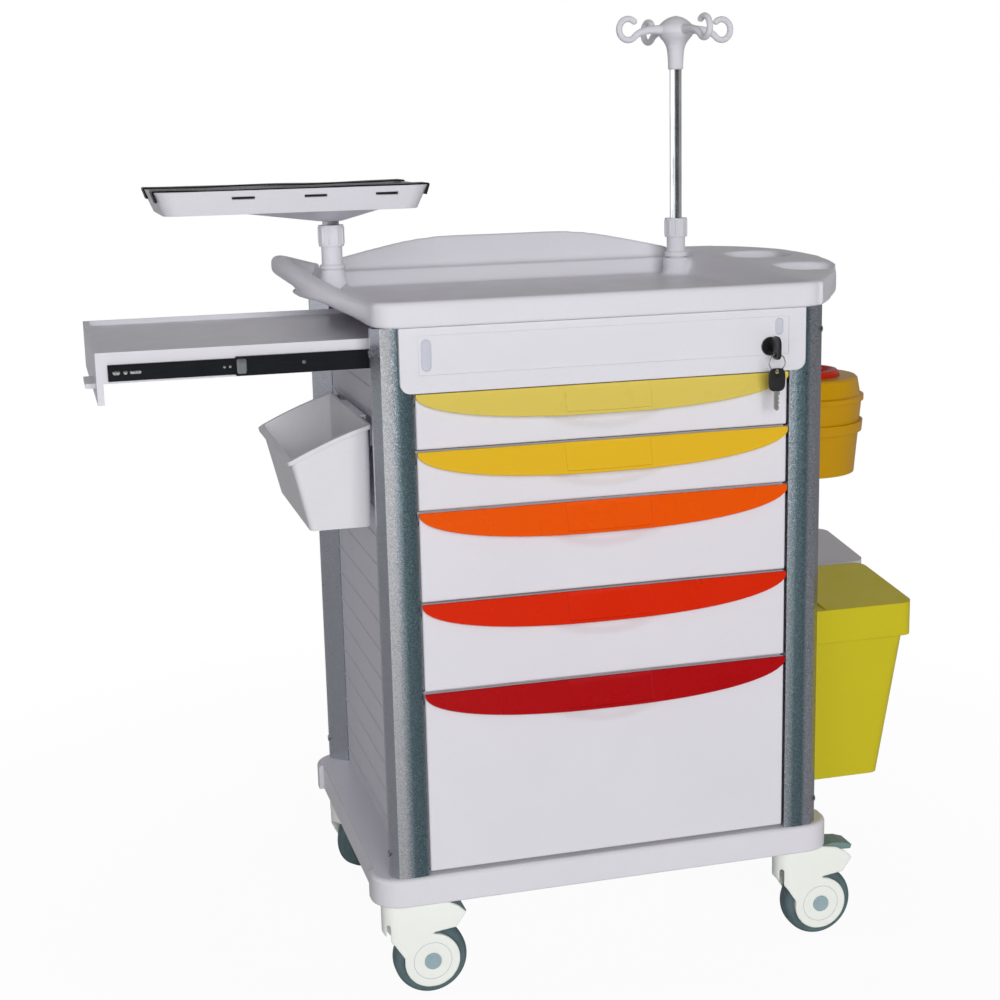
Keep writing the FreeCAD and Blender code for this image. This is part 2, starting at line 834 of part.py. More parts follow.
def make_top_tray():
    tray = join(tray_body(), [back_wall(), cheek(-1), cheek(1)])
    tray = tray.cut(tray_basin())
    tray = join(tray, [left_handle(), left_deck(), right_extension(), socket_seat(pole_x, pole_y)])
    inset = 2 * tray_wall
    hollow = box(-column_inner + inset, column_inner - inset, -column_back, column_back,
                 cabinet_top, tray_floor_top - tray_floor_thickness)
    tray = tray.cut(hollow)
    pole_hole = Part.makeCylinder(socket_radius, pole_seat() - cabinet_top, V(pole_x, pole_y, cabinet_top))
    seat = post_seat()
    post_foot = Part.makeCylinder(pedestal_radius, back_wall_top - seat, V(post_x, post_y, seat))
    clear = socket_flange_radius + sliding_clearance
    pole_foot = Part.makeCylinder(clear, extension_tilt, V(pole_x, pole_y, pole_seat()))
    return tray.cut(pole_hole).cut(pole_foot).cut(post_foot)


def ribbed_collar(x, y, z0, shaft_radius):
    # screw-down collar: plain bore round the socket's neck, smaller lip round the shaft
    outer = Part.makeCylinder(collar_radius - collar_rib_radius / 2, collar_height, V(x, y, z0))
    ribs = []
    for i in range(collar_rib_count):
        a = 2 * math.pi * i / collar_rib_count
        r = collar_radius - collar_rib_radius
        foot = V(x + r * math.cos(a), y + r * math.sin(a), z0 + 3.0)
        ribs.append(Part.makeCylinder(collar_rib_radius, collar_height - 6.0, foot))
    collar = join(outer, ribs)
    neck = Part.makeCylinder(socket_radius + running_clearance, collar_height - collar_lip, V(x, y, z0))
    lip = Part.makeCylinder(shaft_radius + running_clearance, collar_height, V(x, y, z0))
    return collar.cut(neck).cut(lip)


def socket(x, y, seat, height, shaft_radius, foot_radius):
    # flanged tube fixed in the tray; the collar screws on to its top
    bore = shaft_radius + running_clearance
    r = socket_radius
    top = seat + height
    rise = seat + socket_flange_thickness
    profile = [(bore, cabinet_top), (r, cabinet_top), (r, seat), (foot_radius, seat),
               (socket_flange_radius, rise), (r, rise + 2.0), (r, top), (bore, top)]
    return turned(profile, x, y)


def pole_seat():
    return tray_rim_top + left_deck_drop


def post_seat():
    return tray_rim_top - left_deck_drop


def make_post_sockets():
    pole = socket(pole_x, pole_y, pole_seat(), pole_socket_height, pole_radius, socket_flange_radius)
    seat = post_seat()
    bore = post_radius + running_clearance
    r = socket_radius
    f = socket_flange_radius
    top = seat + post_socket_height
    profile = [(bore, seat), (pedestal_radius, seat), (r + 1.0, seat + 26.0), (f, seat + 28.0),
               (f, seat + 32.0), (r, seat + 34.0), (r, top), (bore, top)]
    return pole, turned(profile, post_x, post_y)


def make_iv_pole():
    z0 = pole_top - pole_length
    tube = Part.makeCylinder(pole_radius, pole_length, V(pole_x, pole_y, z0))
    return tube.cut(Part.makeCylinder(pole_radius - pole_wall, pole_length, V(pole_x, pole_y, z0)))


def make_iv_collar():
    z0 = pole_seat() + pole_socket_height - collar_height + collar_lip + sliding_clearance
    return ribbed_collar(pole_x, pole_y, z0, pole_radius)


def hook(turn):
    # radial arm ending in an open ring that stands upright
    z = pole_top + hook_height
    centre = V(pole_x + hook_reach, pole_y, z)

    def on_ring(degrees):
        a = math.radians(degrees)
        return centre + V(hook_ring_radius * math.cos(a), 0, hook_ring_radius * math.sin(a))

    start = on_ring(hook_start)
    end = on_ring(hook_start + hook_sweep)
    tangent = (start - centre).cross(V(0, 1, 0))
    section = Part.Face(Part.Wire(Part.makeCircle(hook_wire_radius, start, tangent)))
    ring = section.revolve(centre, V(0, -1, 0), hook_sweep)
    root = V(pole_x + head_dome_radius / 2, pole_y, z - 2.0)
    arm = start - root
    bar = Part.makeCone(hook_arm_radius, hook_wire_radius, arm.Length, root, arm)
    knob = Part.makeSphere(hook_wire_radius + 0.3, end)
    elbow = Part.makeSphere(hook_wire_radius + 0.3, start)
    shape = join(ring, [bar, knob, elbow])
    shape.rotate(V(pole_x, pole_y, 0), UP, turn)
    return shape


def make_iv_hook_head():
    top = pole_top + head_height
    r = head_dome_radius
    n = head_neck_radius
    grip = pole_top - head_socket_depth
    z = pole_top
    sleeve = turned([(pole_radius, grip), (n, grip), (n, z), (pole_radius, z)], pole_x, pole_y)
    profile = [(0.0, z), (n, z), (n + 1.5, z + 22.0), (n + 6.0, z + 34.0), (r - 4.0, z + 42.0), (r, z + 48.0),
               (r - 1.0, z + 55.0), (r - 7.0, top - 9.0), (12.0, top - 2.0), (0.0, top)]
    dome = turned(profile, pole_x, pole_y)
    hooks = [hook(hook_turn + 360.0 * i / hook_count) for i in range(hook_count)]
    return join(dome, [sleeve] + hooks)


def platform_rectangle(grow):
    cx = post_x + platform_offset
    x = platform_length / 2 + grow
    y = platform_depth / 2 + grow
    return (cx - x, cx + x, post_y - y, post_y + y)


def make_defib_platform():
    z0 = platform_bottom
    z1 = platform_bottom + platform_height
    f = platform_flare
    w = platform_wall
    r = platform_corner_radius
    tray = tapered_block(platform_rectangle(0), platform_rectangle(f), z0, z1, r)
    inner_low = platform_rectangle(-w)
    inner_high = platform_rectangle(f - w)
    tray = tray.cut(tapered_block(inner_low, inner_high, z0 + w, z1 + w * 0.01, r - w))
    foot = Part.Wire(Part.makeCircle(socket_flange_radius, V(post_x, post_y, z0 - cone_height)))
    spread = Part.Wire(Part.Ellipse(V(post_x + cone_offset, post_y, z0), cone_length, cone_width).toShape())
    tray = tray.fuse(Part.makeLoft([foot, spread], True, True)).removeSplitter()
    slots = []
    slot_z = z0 + 0.62 * platform_height
    reach = platform_depth + 4 * f
    for i in (-1, 0, 1):
        x = post_x + platform_offset + slot_shift + i * slot_spacing
        slots.append(box(x - slot_length / 2, x + slot_length / 2, post_y - reach, post_y + reach,
                         slot_z, slot_z + slot_height))
    return tray.cut(Part.makeCompound(slots))


def make_defib_post():
    z0 = post_seat()
    return Part.makeCylinder(post_radius, platform_bottom - cone_height - z0, V(post_x, post_y, z0))


def make_defib_collar():
    z0 = post_seat() + post_socket_height - collar_height + collar_lip + sliding_clearance
    return ribbed_collar(post_x, post_y, z0, post_radius)


def make_defib_straps():
    # two webbing straps stretched over the rim from end to end, each turned down outside the ends
    straps = []
    f = platform_flare
    z1 = platform_bottom + platform_height + sliding_clearance
    x0, x1, y0, y1 = platform_rectangle(f + sliding_clearance)
    t = strap_thickness
    drop = platform_height * 0.45
    lean = f * 0.45
    for side in (-1, 1):
        y = post_y + side * strap_inset
        section = [V(x0 - t, 0, z1 + t), V(x1 + t, 0, z1 + t), V(x1 + t - lean, 0, z1 - drop),
                   V(x1 - lean, 0, z1 - drop), V(x1, 0, z1), V(x0, 0, z1), V(x0 + lean, 0, z1 - drop),
                   V(x0 - t + lean, 0, z1 - drop)]
        points = [p + V(0, y - strap_width / 2, 0) for p in section]
        straps.append(prism(points, V(0, strap_width, 0)))
    return straps


def make_shelf_board():
    x0 = -shelf_reach
    x1 = x0 + shelf_length
    y = shelf_half_width
    w = shelf_wall
    z1 = shelf_rim_top
    z0 = z1 - shelf_skirt
    plate_top = z1 - shelf_plate_drop
    plate = box(x0, x1, -y, y, plate_top - w, plate_top)
    pieces = [box(x0, x1, -y, -y + w, z0, z1), box(x0, x1, y - w, y, z0, z1)]
    pieces.append(box(x1 - w, x1, -y, y, z0, plate_top))
    end_z0 = z1 - shelf_end_height
    pieces.append(box(x0 - shelf_end_thickness, x0, -y, y, end_z0, z1))
    pull = box(x0 - shelf_end_thickness - 12.0, x0 - shelf_end_thickness, -y + 40.0, -y + 110.0,
               end_z0 + 16.0, end_z0 + 22.0)
    pieces.append(pull)
    return join(plate, pieces)


def shelf_rail_z():
    return shelf_rim_top - shelf_skirt + inner_rail_height / 2 + 3.0


def channel_bar(x0, x1, y_web, y_lip, z_mid, height, sheet):
    # upright C section: web at y_web, lips towards y_lip
    step = sheet if y_lip > y_web else -sheet
    z0 = z_mid - height / 2
    z1 = z_mid + height / 2
    section = [V(x0, y_web, z0), V(x0, y_web, z1), V(x0, y_lip, z1), V(x0, y_lip, z1 - sheet),
               V(x0, y_web + step, z1 - sheet), V(x0, y_web + step, z0 + sheet), V(x0, y_lip, z0 + sheet),
               V(x0, y_lip, z0)]
    return prism(section, V(x1 - x0, 0, 0))


def make_shelf_rails():
    z = shelf_rail_z()
    c = sliding_clearance
    face = shelf_half_width
    inner_web = face + rail_depth
    mid_web = inner_web + c + rail_sheet
    outer_web = column_back
    inner = []
    mid = []
    outer = []
    inner_x0 = -shelf_reach + 6.0
    mid_x0 = -mid_rail_reach
    outer_x0 = -panel_outer
    outer_x1 = outer_x0 + rail_length
    channel_back = fascia_back + fascia_channel_depth
    back_face = cabinet_half_depth - back_panel_inset - panel_thickness
    for side in (-1, 1):
        bar = box(inner_x0, inner_x0 + rail_length, min(side * face, side * inner_web),
                  max(side * face, side * inner_web), z - inner_rail_height / 2, z + inner_rail_height / 2)
        inner.append(bar)
        mid.append(channel_bar(mid_x0, mid_x0 + rail_length, side * mid_web, side * (face + c), z,
                               mid_rail_height, rail_sheet))
        outer_bar = channel_bar(outer_x0, outer_x1, side * outer_web, side * (face + 1.0), z,
                                outer_rail_height, rail_sheet)
        tab_end = channel_back if side < 0 else back_face
        y0, y1 = sorted((side * outer_web, tab_end))
        tab_z = z - outer_rail_height / 2
        tab = box(outer_x1 - 30.0, outer_x1, y0, y1, tab_z, tab_z + 3.0)
        outer.append(outer_bar.fuse(tab).removeSplitter())
    return inner, mid, outer


def make_hanging_rail(side, top):
    inner = panel_outer + rail_standoff
    x0, x1 = sorted((side * inner, side * (inner + rail_bar_thickness)))
    half = rail_bar_length / 2
    bar = box(x0, x1, -half, half, top - rail_bar_height, top)
    posts = []
    for y in (-half + 12.0, half - 12.0):
        start = V(side * panel_outer, y, top - rail_bar_height / 2)
        posts.append(Part.makeCylinder(rail_standoff_radius, inner - panel_outer, start, V(side, 0, 0)))
    return join(bar, posts)


def hanging_hook(side, y0, y1, rail_top):
    # strip from the bin's back wall over the rail and down behind it
    bar_back = panel_outer + rail_standoff
    strip_in = bar_back - hook_clearance - hook_strip
    z0 = rail_top + hook_clearance
    a0, a1 = sorted((side * strip_in, side * (bin_back + hook_strip)))
    over = box(a0, a1, y0, y1, z0, z0 + hook_strip)
    b0, b1 = sorted((side * strip_in, side * (strip_in + hook_strip)))
    down = box(b0, b1, y0, y1, z0 - hook_drop, z0 + hook_strip)
    return over.fuse(down).removeSplitter()


def dump_block(inset, floor):
    # tapered block of the bin, drawn in by inset on every side
    z1 = dump_high_rim + 40.0
    rise = (dump_outer_top - dump_outer_bottom) / (dump_low_rim - dump_bottom)
    grow = rise * (z1 - floor)
    skew = dump_draft * (z1 - floor) / (dump_high_rim - dump_bottom)
    x_back = -bin_back - inset
    x_low = -dump_outer_bottom + inset - rise * (floor - dump_bottom)
    y0 = dump_front + dump_draft + inset
    y1 = dump_back - dump_draft - inset
    low = (x_low, x_back, y0, y1)
    high = (x_low - grow, x_back, y0 - skew, y1 + skew)
    return tapered_block(low, high, floor, z1, 8.0)


def dump_above(drop):
    # everything above the sloping rim line, lowered by drop
    reach = 60.0
    y = dump_front - reach / 2
    middle_z = (dump_low_rim + dump_high_rim) / 2 + 7.0
    a = V(-dump_outer_top - reach, y, dump_low_rim - 22.0 - drop)
    b = V(-(dump_outer_top + bin_back) / 2, y, middle_z - drop)
    c = V(-bin_back + 20.0, y, dump_high_rim + 3.0 - drop)
    top = dump_high_rim + 120.0
    edges = [arc(a, b, c), line(c, V(c.x, c.y, top)), line(V(c.x, c.y, top), V(a.x, a.y, top)),
             line(V(a.x, a.y, top), a)]
    length = dump_back - dump_front + reach
    return Part.Face(Part.Wire(edges)).extrude(V(0, length, 0))


def make_dump_bin():
    shell = dump_block(0.0, dump_bottom).cut(dump_block(dump_wall, dump_bottom + dump_wall))
    shell = shell.cut(dump_above(0.0))
    band = dump_block(-dump_lip, dump_bottom).cut(dump_block(dump_wall, dump_bottom + dump_wall))
    band = band.cut(dump_above(0.0)).common(dump_above(dump_lip_height))
    keep = box(-dump_outer_top - 60.0, -bin_back, dump_front - 40.0, dump_back + 40.0,
               dump_bottom, dump_high_rim + 60.0)
    band = band.common(keep)
    middle = (dump_front + dump_back) / 2
    grip = hanging_hook(-1, middle - 70.0, middle + 70.0, left_rail_top)
    return join(shell, [band, grip])


class WasteBin:
    def __init__(self, centre_y, depth, top, reach):
        self.y = centre_y
        self.half = depth / 2
        self.top = top
        self.reach = reach
        self.rim = top - lid_wall - sliding_clearance
        self.side = self.half - lid_wall - sliding_clearance
        self.pivot_x = bin_back + waste_corner_radius + 9.0
        self.pivot_z = self.rim - 5.5

    def outline(self, inset, taper):
        x1 = self.reach - lid_wall - sliding_clearance - inset - taper * waste_taper_x
        half = self.side - inset - taper * waste_taper_y
        return (bin_back + inset, x1, self.y - half, self.y + half)

    def body(self):
        w = waste_wall
        r = waste_corner_radius
        block = tapered_block(self.outline(0, 1), self.outline(0, 0), waste_bottom, self.rim, r)
        inside = tapered_block(self.outline(w, 1), self.outline(w, 0), waste_bottom + w, self.rim, r - w)
        notch = box(self.pivot_x - ledge_setback, self.pivot_x - hinge_notch_front, self.y - self.half,
                    self.y + self.half, self.rim - hinge_notch_depth, self.rim)
        shell = block.cut(inside).cut(notch)
        ledge = box(bin_back, self.pivot_x - ledge_setback, self.y - self.half, self.y + self.half,
                    self.rim - w, self.rim)
        strip = hanging_hook(1, self.y - 40.0, self.y + 40.0, right_rail_top)
        shell = join(shell, [ledge.common(block), strip])
        for end in (-1, 1):
            foot = V(self.pivot_x, self.y + end * (self.side - w / 2), self.pivot_z)
            length = self.half - self.side + w / 2
            shell = shell.fuse(Part.makeCylinder(lid_pivot_radius, length, foot, V(0, end, 0)))
        return shell

    def above_roof(self, w):
        # everything over the lid's roof, which is flat beside the hinge and rises towards the back
        x0 = bin_back - 4 * waste_corner_radius
        y0 = self.y - self.half
        y1 = self.y + self.half
        low = self.top - w
        high = self.top + 2 * lid_rise
        points = [V(x0, y0, low), V(x0, y1, low + lid_rise), V(x0, y1, high), V(x0, y0, high)]
        slope = Part.Face(Part.makePolygon(points + points[:1])).extrude(V(self.reach - x0, 0, 0))
        step = box(x0, self.pivot_x + lid_roof_setback + w, y0, y1, low, high)
        return slope.fuse(step)

    def lid(self):
        w = lid_wall
        x0 = self.pivot_x - 2 * lid_pivot_radius - 1.0
        z0 = self.top - lid_height
        r = waste_corner_radius
        y0 = self.y - self.half
        y1 = self.y + self.half
        peak = self.top + lid_rise
        cover = rounded_block(x0 - 2 * r, self.reach, y0, y1, z0, peak, r).cut(self.above_roof(0))
        inner = rounded_block(x0 - 4 * r, self.reach - w, y0 + w, y1 - w, z0, peak, r - w)
        inner = inner.cut(self.above_roof(w))
        back = box(x0 - 4 * r, x0, y0, y1, z0, self.top)
        bore = Part.makeCylinder(lid_pivot_radius + running_clearance, y1 - y0,
                                 V(self.pivot_x, y0, self.pivot_z), V(0, 1, 0))
        return cover.cut(inner).cut(back).cut(bore)


def sharps_radius(z):
    share = (z - sharps_bottom) / (sharps_rim - sharps_bottom)
    return sharps_bottom_radius + share * (sharps_rim_radius - sharps_bottom_radius)


def make_sharps_tub():
    w = sharps_wall
    r = sharps_bottom_radius
    z0 = sharps_bottom
    profile = [(0.0, z0), (r, z0), (sharps_rim_radius, sharps_rim), (sharps_rim_radius - w, sharps_rim),
               (r - w, z0 + w), (0.0, z0 + w)]
    return turned(profile, sharps_x, sharps_y)


def make_sharps_cover():
    # stepped cover with a rolled bead at its foot and a round filling mouth
    w = sharps_wall
    r = sharps_rim_radius
    z0 = sharps_rim
    z1 = sharps_cover_top
    c = sharps_cap_radius
    profile = [(r - w, z0), (r + sharps_bead, z0), (r + sharps_bead, z0 + 7.0), (r - 2.0, z0 + 9.0),
               (r - 6.0, z1 - 3.0), (r - 9.0, z1), (c, z1), (c, z1 - 3.0), (c - 5.0, z1 - 3.0),
               (c - 5.0, z1 - 6.0), (r - 11.0, z1 - 6.0), (r - w - 3.0, z0 + 4.0)]
    return turned(profile, sharps_x, sharps_y)


def make_sharps_cap():
    r = sharps_cap_radius - sliding_clearance
    z0 = sharps_cover_top - 3.0 + sliding_clearance
    z1 = sharps_cover_top + sharps_cap_height
    profile = [(0.0, z0), (r, z0), (r, z1 - 4.0), (r - 4.0, z1), (r - 10.0, z1), (r - 16.0, z1 - 5.0),
               (0.0, z1 - 5.0)]
    disc = turned(profile, sharps_x, sharps_y)
    grip = box(sharps_x - 30.0, sharps_x + 30.0, sharps_y - 4.0, sharps_y + 4.0, z1 - 5.5, z1)
    return disc.fuse(grip).removeSplitter()


def make_sharps_holder():
    gap = sliding_clearance
    z0 = holder_z
    z1 = holder_z + holder_height
    t = holder_thickness
    low = sharps_radius(z0) + gap
    high = sharps_radius(z1) + gap
    profile = [(low, z0), (low + t, z0), (high + t, z1), (high, z1)]
    ring = turned(profile, sharps_x, sharps_y)
    plate_x1 = panel_outer + ridge_stand + 4.0
    plate = box(panel_outer + ridge_stand, plate_x1, sharps_y - 55.0, sharps_y + 55.0, z0 - 40.0, z1 + 20.0)
    reach = sharps_x - sharps_radius(z0) - gap
    arms = []
    for y in (-42.0, 42.0):
        arms.append(box(plate_x1 - 1.0, reach + 20.0, sharps_y + y - 4.0, sharps_y + y + 4.0, z0, z1))
    clear = turned([(0.0, z0), (low, z0), (high, z1), (0.0, z1)], sharps_x, sharps_y)
    return join(plate, [ring] + [arm.cut(clear) for arm in arms])


def make_castor_stem(x, y):
    low = base_bottom - stem_plate_thickness
    plate = Part.makeCylinder(stem_plate_radius, stem_plate_thickness, V(x, y, low))
    pin = Part.makeCylinder(stem_radius, stem_depth, V(x, y, low - stem_depth))
    return plate.fuse(pin).removeSplitter()


def make_castor_fork(x, y, braked):
    # hood round the wheel: side discs, closed back and top, beak in front of the wheel
    top = fork_top
    hub = V(x + castor_trail, y, wheel_radius)
    y0 = y - fork_outer
    beak_x = x + fork_beak_reach
    nose_z = top - fork_beak_drop
    back_z = top - fork_back_drop
    side = [
        V(x - fork_back, y0, top),
        V(x - fork_back, y0, back_z),
        V(x - fork_back / 2, y0, back_z - 16.0),
        V(hub.x - fork_disc_radius, y0, wheel_radius + 8.0),
        V(hub.x, y0, wheel_radius),
        V(hub.x + 2.0, y0, wheel_radius + fork_disc_radius + 2.0),
        V(beak_x - 14.0, y0, nose_z - fork_beak_depth),
        V(beak_x, y0, nose_z),
        V(beak_x - 10.0, y0, nose_z + 10.0),
        V(beak_x - 24.0, y0, top - 6.0),
        V(x + fork_back, y0, top),
    ]
    hood = prism(side, V(0, 2 * fork_outer, 0))
    disc = Part.makeCylinder(fork_disc_radius, 2 * fork_outer, V(hub.x, y0, hub.z), V(0, 1, 0))
    hood = hood.fuse(disc).removeSplitter()
    far_x = beak_x + wheel_diameter
    hood = hood.common(rounded_block(x - fork_back, far_x, y0, y + fork_outer, 0.0, top, fork_outer - 0.5))
    roof = wheel_diameter + fork_wheel_clearance
    back_x = x - fork_back + fork_wall
    hood = hood.cut(box(back_x, far_x, y - fork_inner, y + fork_inner, 0.0, roof))
    along = V(0, 1, 0)
    stem_hole = Part.makeCylinder(stem_radius + running_clearance, stem_depth, V(x, y, top - stem_depth))
    axle_hole = Part.makeCylinder(axle_radius + running_clearance, 2 * fork_outer, V(hub.x, y0, hub.z), along)
    hood = hood.cut(stem_hole).cut(axle_hole)
    if braked:
        slot_x = beak_x - pedal_length - 5.0
        hood = hood.cut(box(slot_x, beak_x, y - fork_inner, y + fork_inner, roof - 1.0, top))
        reach = fork_inner + pedal_pin_seat
        pin_hole = Part.makeCylinder(pedal_pin_radius + running_clearance, 2 * reach,
                                     pedal_pivot(x, y) - along * reach, along)
        hood = hood.cut(pin_hole)
    return hood


def make_castor_wheel(x, y):
    # core with its axle and end caps, and the tyre round it
    hub = V(x + castor_trail, y, wheel_radius)
    along = V(0, 1, 0)
    half = tyre_width / 2
    core_radius = wheel_radius - tyre_depth
    core = Part.makeCylinder(core_radius, tyre_width, hub + V(0, -half, 0), along)
    axle_half = fork_outer + sliding_clearance + axle_cap_thickness
    axle = Part.makeCylinder(axle_radius, 2 * axle_half, hub + V(0, -axle_half, 0), along)
    caps = []
    for end in (-1, 1):
        caps.append(Part.makeCylinder(axle_cap_radius, axle_cap_thickness,
                                      hub + V(0, end * (fork_outer + sliding_clearance), 0), V(0, end, 0)))
    hub_solid = join(core, [axle] + caps)
    crown = wheel_radius - tyre_crown
    points = [V(0, -half, core_radius), V(0, -half, crown), V(0, -half + tyre_crown, wheel_radius),
              V(0, half - tyre_crown, wheel_radius), V(0, half, crown), V(0, half, core_radius)]
    face = Part.Face(Part.makePolygon([hub + p for p in points] + [hub + points[0]]))
    tyre = face.revolve(hub, along, 360)
    return hub_solid, tyre


def pedal_pivot(x, y):
    return V(x + pedal_pivot_reach, y, fork_top - pedal_pivot_drop)


def make_brake_pedal(x, y, raised):
    # tread between the fork's cheeks, with a brake foot over the tyre, hinged on a cross pin
    pivot = pedal_pivot(x, y)
    half = fork_inner - sliding_clearance
    y0 = y - half
    top = fork_top - 2.0
    tip = x + fork_beak_reach
    nose = fork_top - fork_beak_drop
    d = pedal_depth
    foot_z = wheel_diameter + brake_gap
    section = [
        V(tip - pedal_length, y0, top - d),
        V(tip - pedal_length, y0, top),
        V(tip - 40.0, y0, top),
        V(tip - 24.0, y0, top - 4.0),
        V(tip - 10.0, y0, nose + 10.0),
        V(tip + 1.0, y0, nose),
        V(tip - 3.0, y0, nose - d / 2),
        V(tip - 16.0, y0, nose + 2.0),
        V(pivot.x + 6.0, y0, pivot.z - 6.0),
        V(pivot.x + 4.0, y0, foot_z),
        V(pivot.x - 5.0, y0, foot_z),
        V(pivot.x - 6.0, y0, pivot.z - 2.0),
    ]
    tread = prism(section, V(0, 2 * half, 0))
    reach = fork_inner + pedal_pin_seat - running_clearance
    pin = Part.makeCylinder(pedal_pin_radius, 2 * reach, pivot + V(0, -reach, 0), V(0, 1, 0))
    pedal = tread.fuse(pin).removeSplitter()
    if raised:
        pedal.rotate(pivot, V(0, -1, 0), pedal_raise)
    return pedal


def write_cabinet():
    write("base_deck", make_base_deck())
    columns, screws = make_columns_and_screws()
    write("corner_columns", *columns)
    write("panel_screws", *screws)
    write("left_side_panel", make_side_panel(-1, left_panel_top))
    write("right_side_panel", make_side_panel(1, cabinet_top))
    write("back_panel", make_back_panel())
    write("drawer_guides", *make_drawer_guides())
    write("front_fascia", make_front_fascia())
    write("lock_barrel", make_lock_barrel())
    write("lock_key", make_lock_key())
    write("spare_key", *make_spare_key())
    write("top_tray", make_top_tray())
    write("post_sockets", *make_post_sockets())


def write_drawers():
    for index in range(len(drawer_heights)):
        name = "drawer_%d" % (index + 1)
        write(name + "_box", make_drawer_box(index))
        write(name + "_front", make_drawer_front(index))
        write(name + "_handle", make_drawer_handle(index))


def write_attachments():
    inner, mid, outer = make_shelf_rails()
    write("shelf_board", make_shelf_board())
    write("shelf_inner_rails", *inner)
    write("shelf_mid_rails", *mid)
    write("shelf_outer_rails", *outer)
    write("iv_pole", make_iv_pole())
    write("iv_collar", make_iv_collar())
    write("iv_hook_head", make_iv_hook_head())
    write("defib_platform", make_defib_platform())
    write("defib_post", make_defib_post())
    write("defib_collar", make_defib_collar())
    write("defib_straps", *make_defib_straps())


def write_bins():
    write("hanging_rails", make_hanging_rail(-1, left_rail_top), make_hanging_rail(1, right_rail_top))
    write("dump_bin", make_dump_bin())
    yellow = WasteBin(yellow_bin_y, yellow_bin_depth, yellow_bin_top, yellow_bin_reach)
    grey = WasteBin(grey_bin_y, grey_bin_depth, grey_bin_top, grey_bin_reach)
    write("waste_bin_yellow", yellow.body())
    write("waste_lid_yellow", yellow.lid())
    write("waste_bin_grey", grey.body())
    write("waste_lid_grey", grey.lid())
    write("sharps_holder", make_sharps_holder())
    write("sharps_tub", make_sharps_tub())
    write("sharps_cover", make_sharps_cover())
    write("sharps_cap", make_sharps_cap())


def write_castors():
    stems = []
    for end in (-1, 1):
        for side in (-1, 1):
            x = side * castor_x
            y = end * castor_y
            braked = end < 0
            name = ("front" if braked else "rear") + ("_left" if side < 0 else "_right")
            fork = make_castor_fork(x, y, braked)
            hub, tyre = make_castor_wheel(x, y)
            if name == "rear_left":
                for shape in (fork, hub, tyre):
                    shape.rotate(V(x, y, 0), UP, rear_left_turn)
            write("castor_fork_" + name, fork)
            write("castor_wheel_" + name, hub, tyre)
            stems.append(make_castor_stem(x, y))
            if braked:
                write("brake_pedal_" + name, make_brake_pedal(x, y, side > 0))
    write("castor_stems", *stems)


os.makedirs("parts", exist_ok=True)
write_cabinet()
write_drawers()
write_attachments()
write_bins()
write_castors()
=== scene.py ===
import json
import math
import bmesh
import bpy
import numpy as np
from mathutils import Matrix, Vector


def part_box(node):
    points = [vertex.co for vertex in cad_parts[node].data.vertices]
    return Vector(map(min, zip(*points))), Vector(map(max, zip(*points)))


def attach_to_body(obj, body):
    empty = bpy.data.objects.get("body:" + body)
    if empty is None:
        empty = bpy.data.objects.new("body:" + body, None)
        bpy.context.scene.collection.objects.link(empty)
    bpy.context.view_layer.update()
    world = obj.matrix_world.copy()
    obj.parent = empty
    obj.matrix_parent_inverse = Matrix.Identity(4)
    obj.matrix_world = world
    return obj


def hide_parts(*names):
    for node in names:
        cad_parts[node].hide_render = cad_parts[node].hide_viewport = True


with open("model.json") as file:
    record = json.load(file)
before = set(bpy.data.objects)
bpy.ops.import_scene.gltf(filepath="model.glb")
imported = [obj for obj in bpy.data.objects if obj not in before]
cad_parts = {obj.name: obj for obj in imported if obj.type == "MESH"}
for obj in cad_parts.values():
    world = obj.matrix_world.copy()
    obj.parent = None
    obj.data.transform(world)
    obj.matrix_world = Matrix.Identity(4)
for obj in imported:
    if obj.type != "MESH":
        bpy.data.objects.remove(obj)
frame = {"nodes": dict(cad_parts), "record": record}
nodes = frame["nodes"]
joints = {joint["name"]: joint for joint in frame["record"]["behaviour"]["joints"]}
castorCorners = ("front_left", "front_right", "rear_left", "rear_right")
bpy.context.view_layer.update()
print("stage: frame loaded,", len(nodes), "nodes")


# an object made from its data and put in the scene
def addObject(name, data):
    made = bpy.data.objects.new(name, data)
    bpy.context.scene.collection.objects.link(made)
    return made


# the camera, set to the photograph's viewing angle
viewLook = {"place": (-0.7017, -2.3232, 1.1472), "forward": (0.2530, 0.9437, -0.2129), "rollDeg": -1.35,
            "lensMm": 62.53, "sensorMm": 36.0, "nearest": 0.02}


# right, up and forward axes from the viewing line, then turned about it by the roll
def makeCamera(look):
    forward = Vector(look["forward"]).normalized()
    level = forward.cross(Vector((0, 0, 1))).normalized()
    upright = level.cross(forward)
    roll = math.radians(look["rollDeg"])
    right = level * math.cos(roll) + upright * math.sin(roll)
    up = upright * math.cos(roll) - level * math.sin(roll)
    camera = addObject("camera", bpy.data.cameras.new("camera"))
    turn = Matrix((right, up, -forward)).transposed().to_4x4()
    camera.matrix_world = Matrix.Translation(look["place"]) @ turn
    camera.data.lens = look["lensMm"]
    camera.data.sensor_width = look["sensorMm"]
    camera.data.clip_start = look["nearest"]
    bpy.context.scene.camera = camera


makeCamera(viewLook)


# screen colour, 0 to 255, as the linear colour that a shader takes
def fromScreen(red, green, blue):
    c = np.array([red, green, blue]) / 255.0
    c = np.where(c <= 0.04045, c / 12.92, ((c + 0.055) / 1.055) ** 2.4)
    return (*c.tolist(), 1.0)


# a colour times a share
def shade(colour, share):
    return (colour[0] * share, colour[1] * share, colour[2] * share, 1.0)


# a colour's darker and lighter shares at stops
def tones(colour, shares):
    return [(at, shade(colour, share)) for at, share in shares]


# a value moved by each of some changes
def moved(value, changes):
    return [value + change for change in changes]


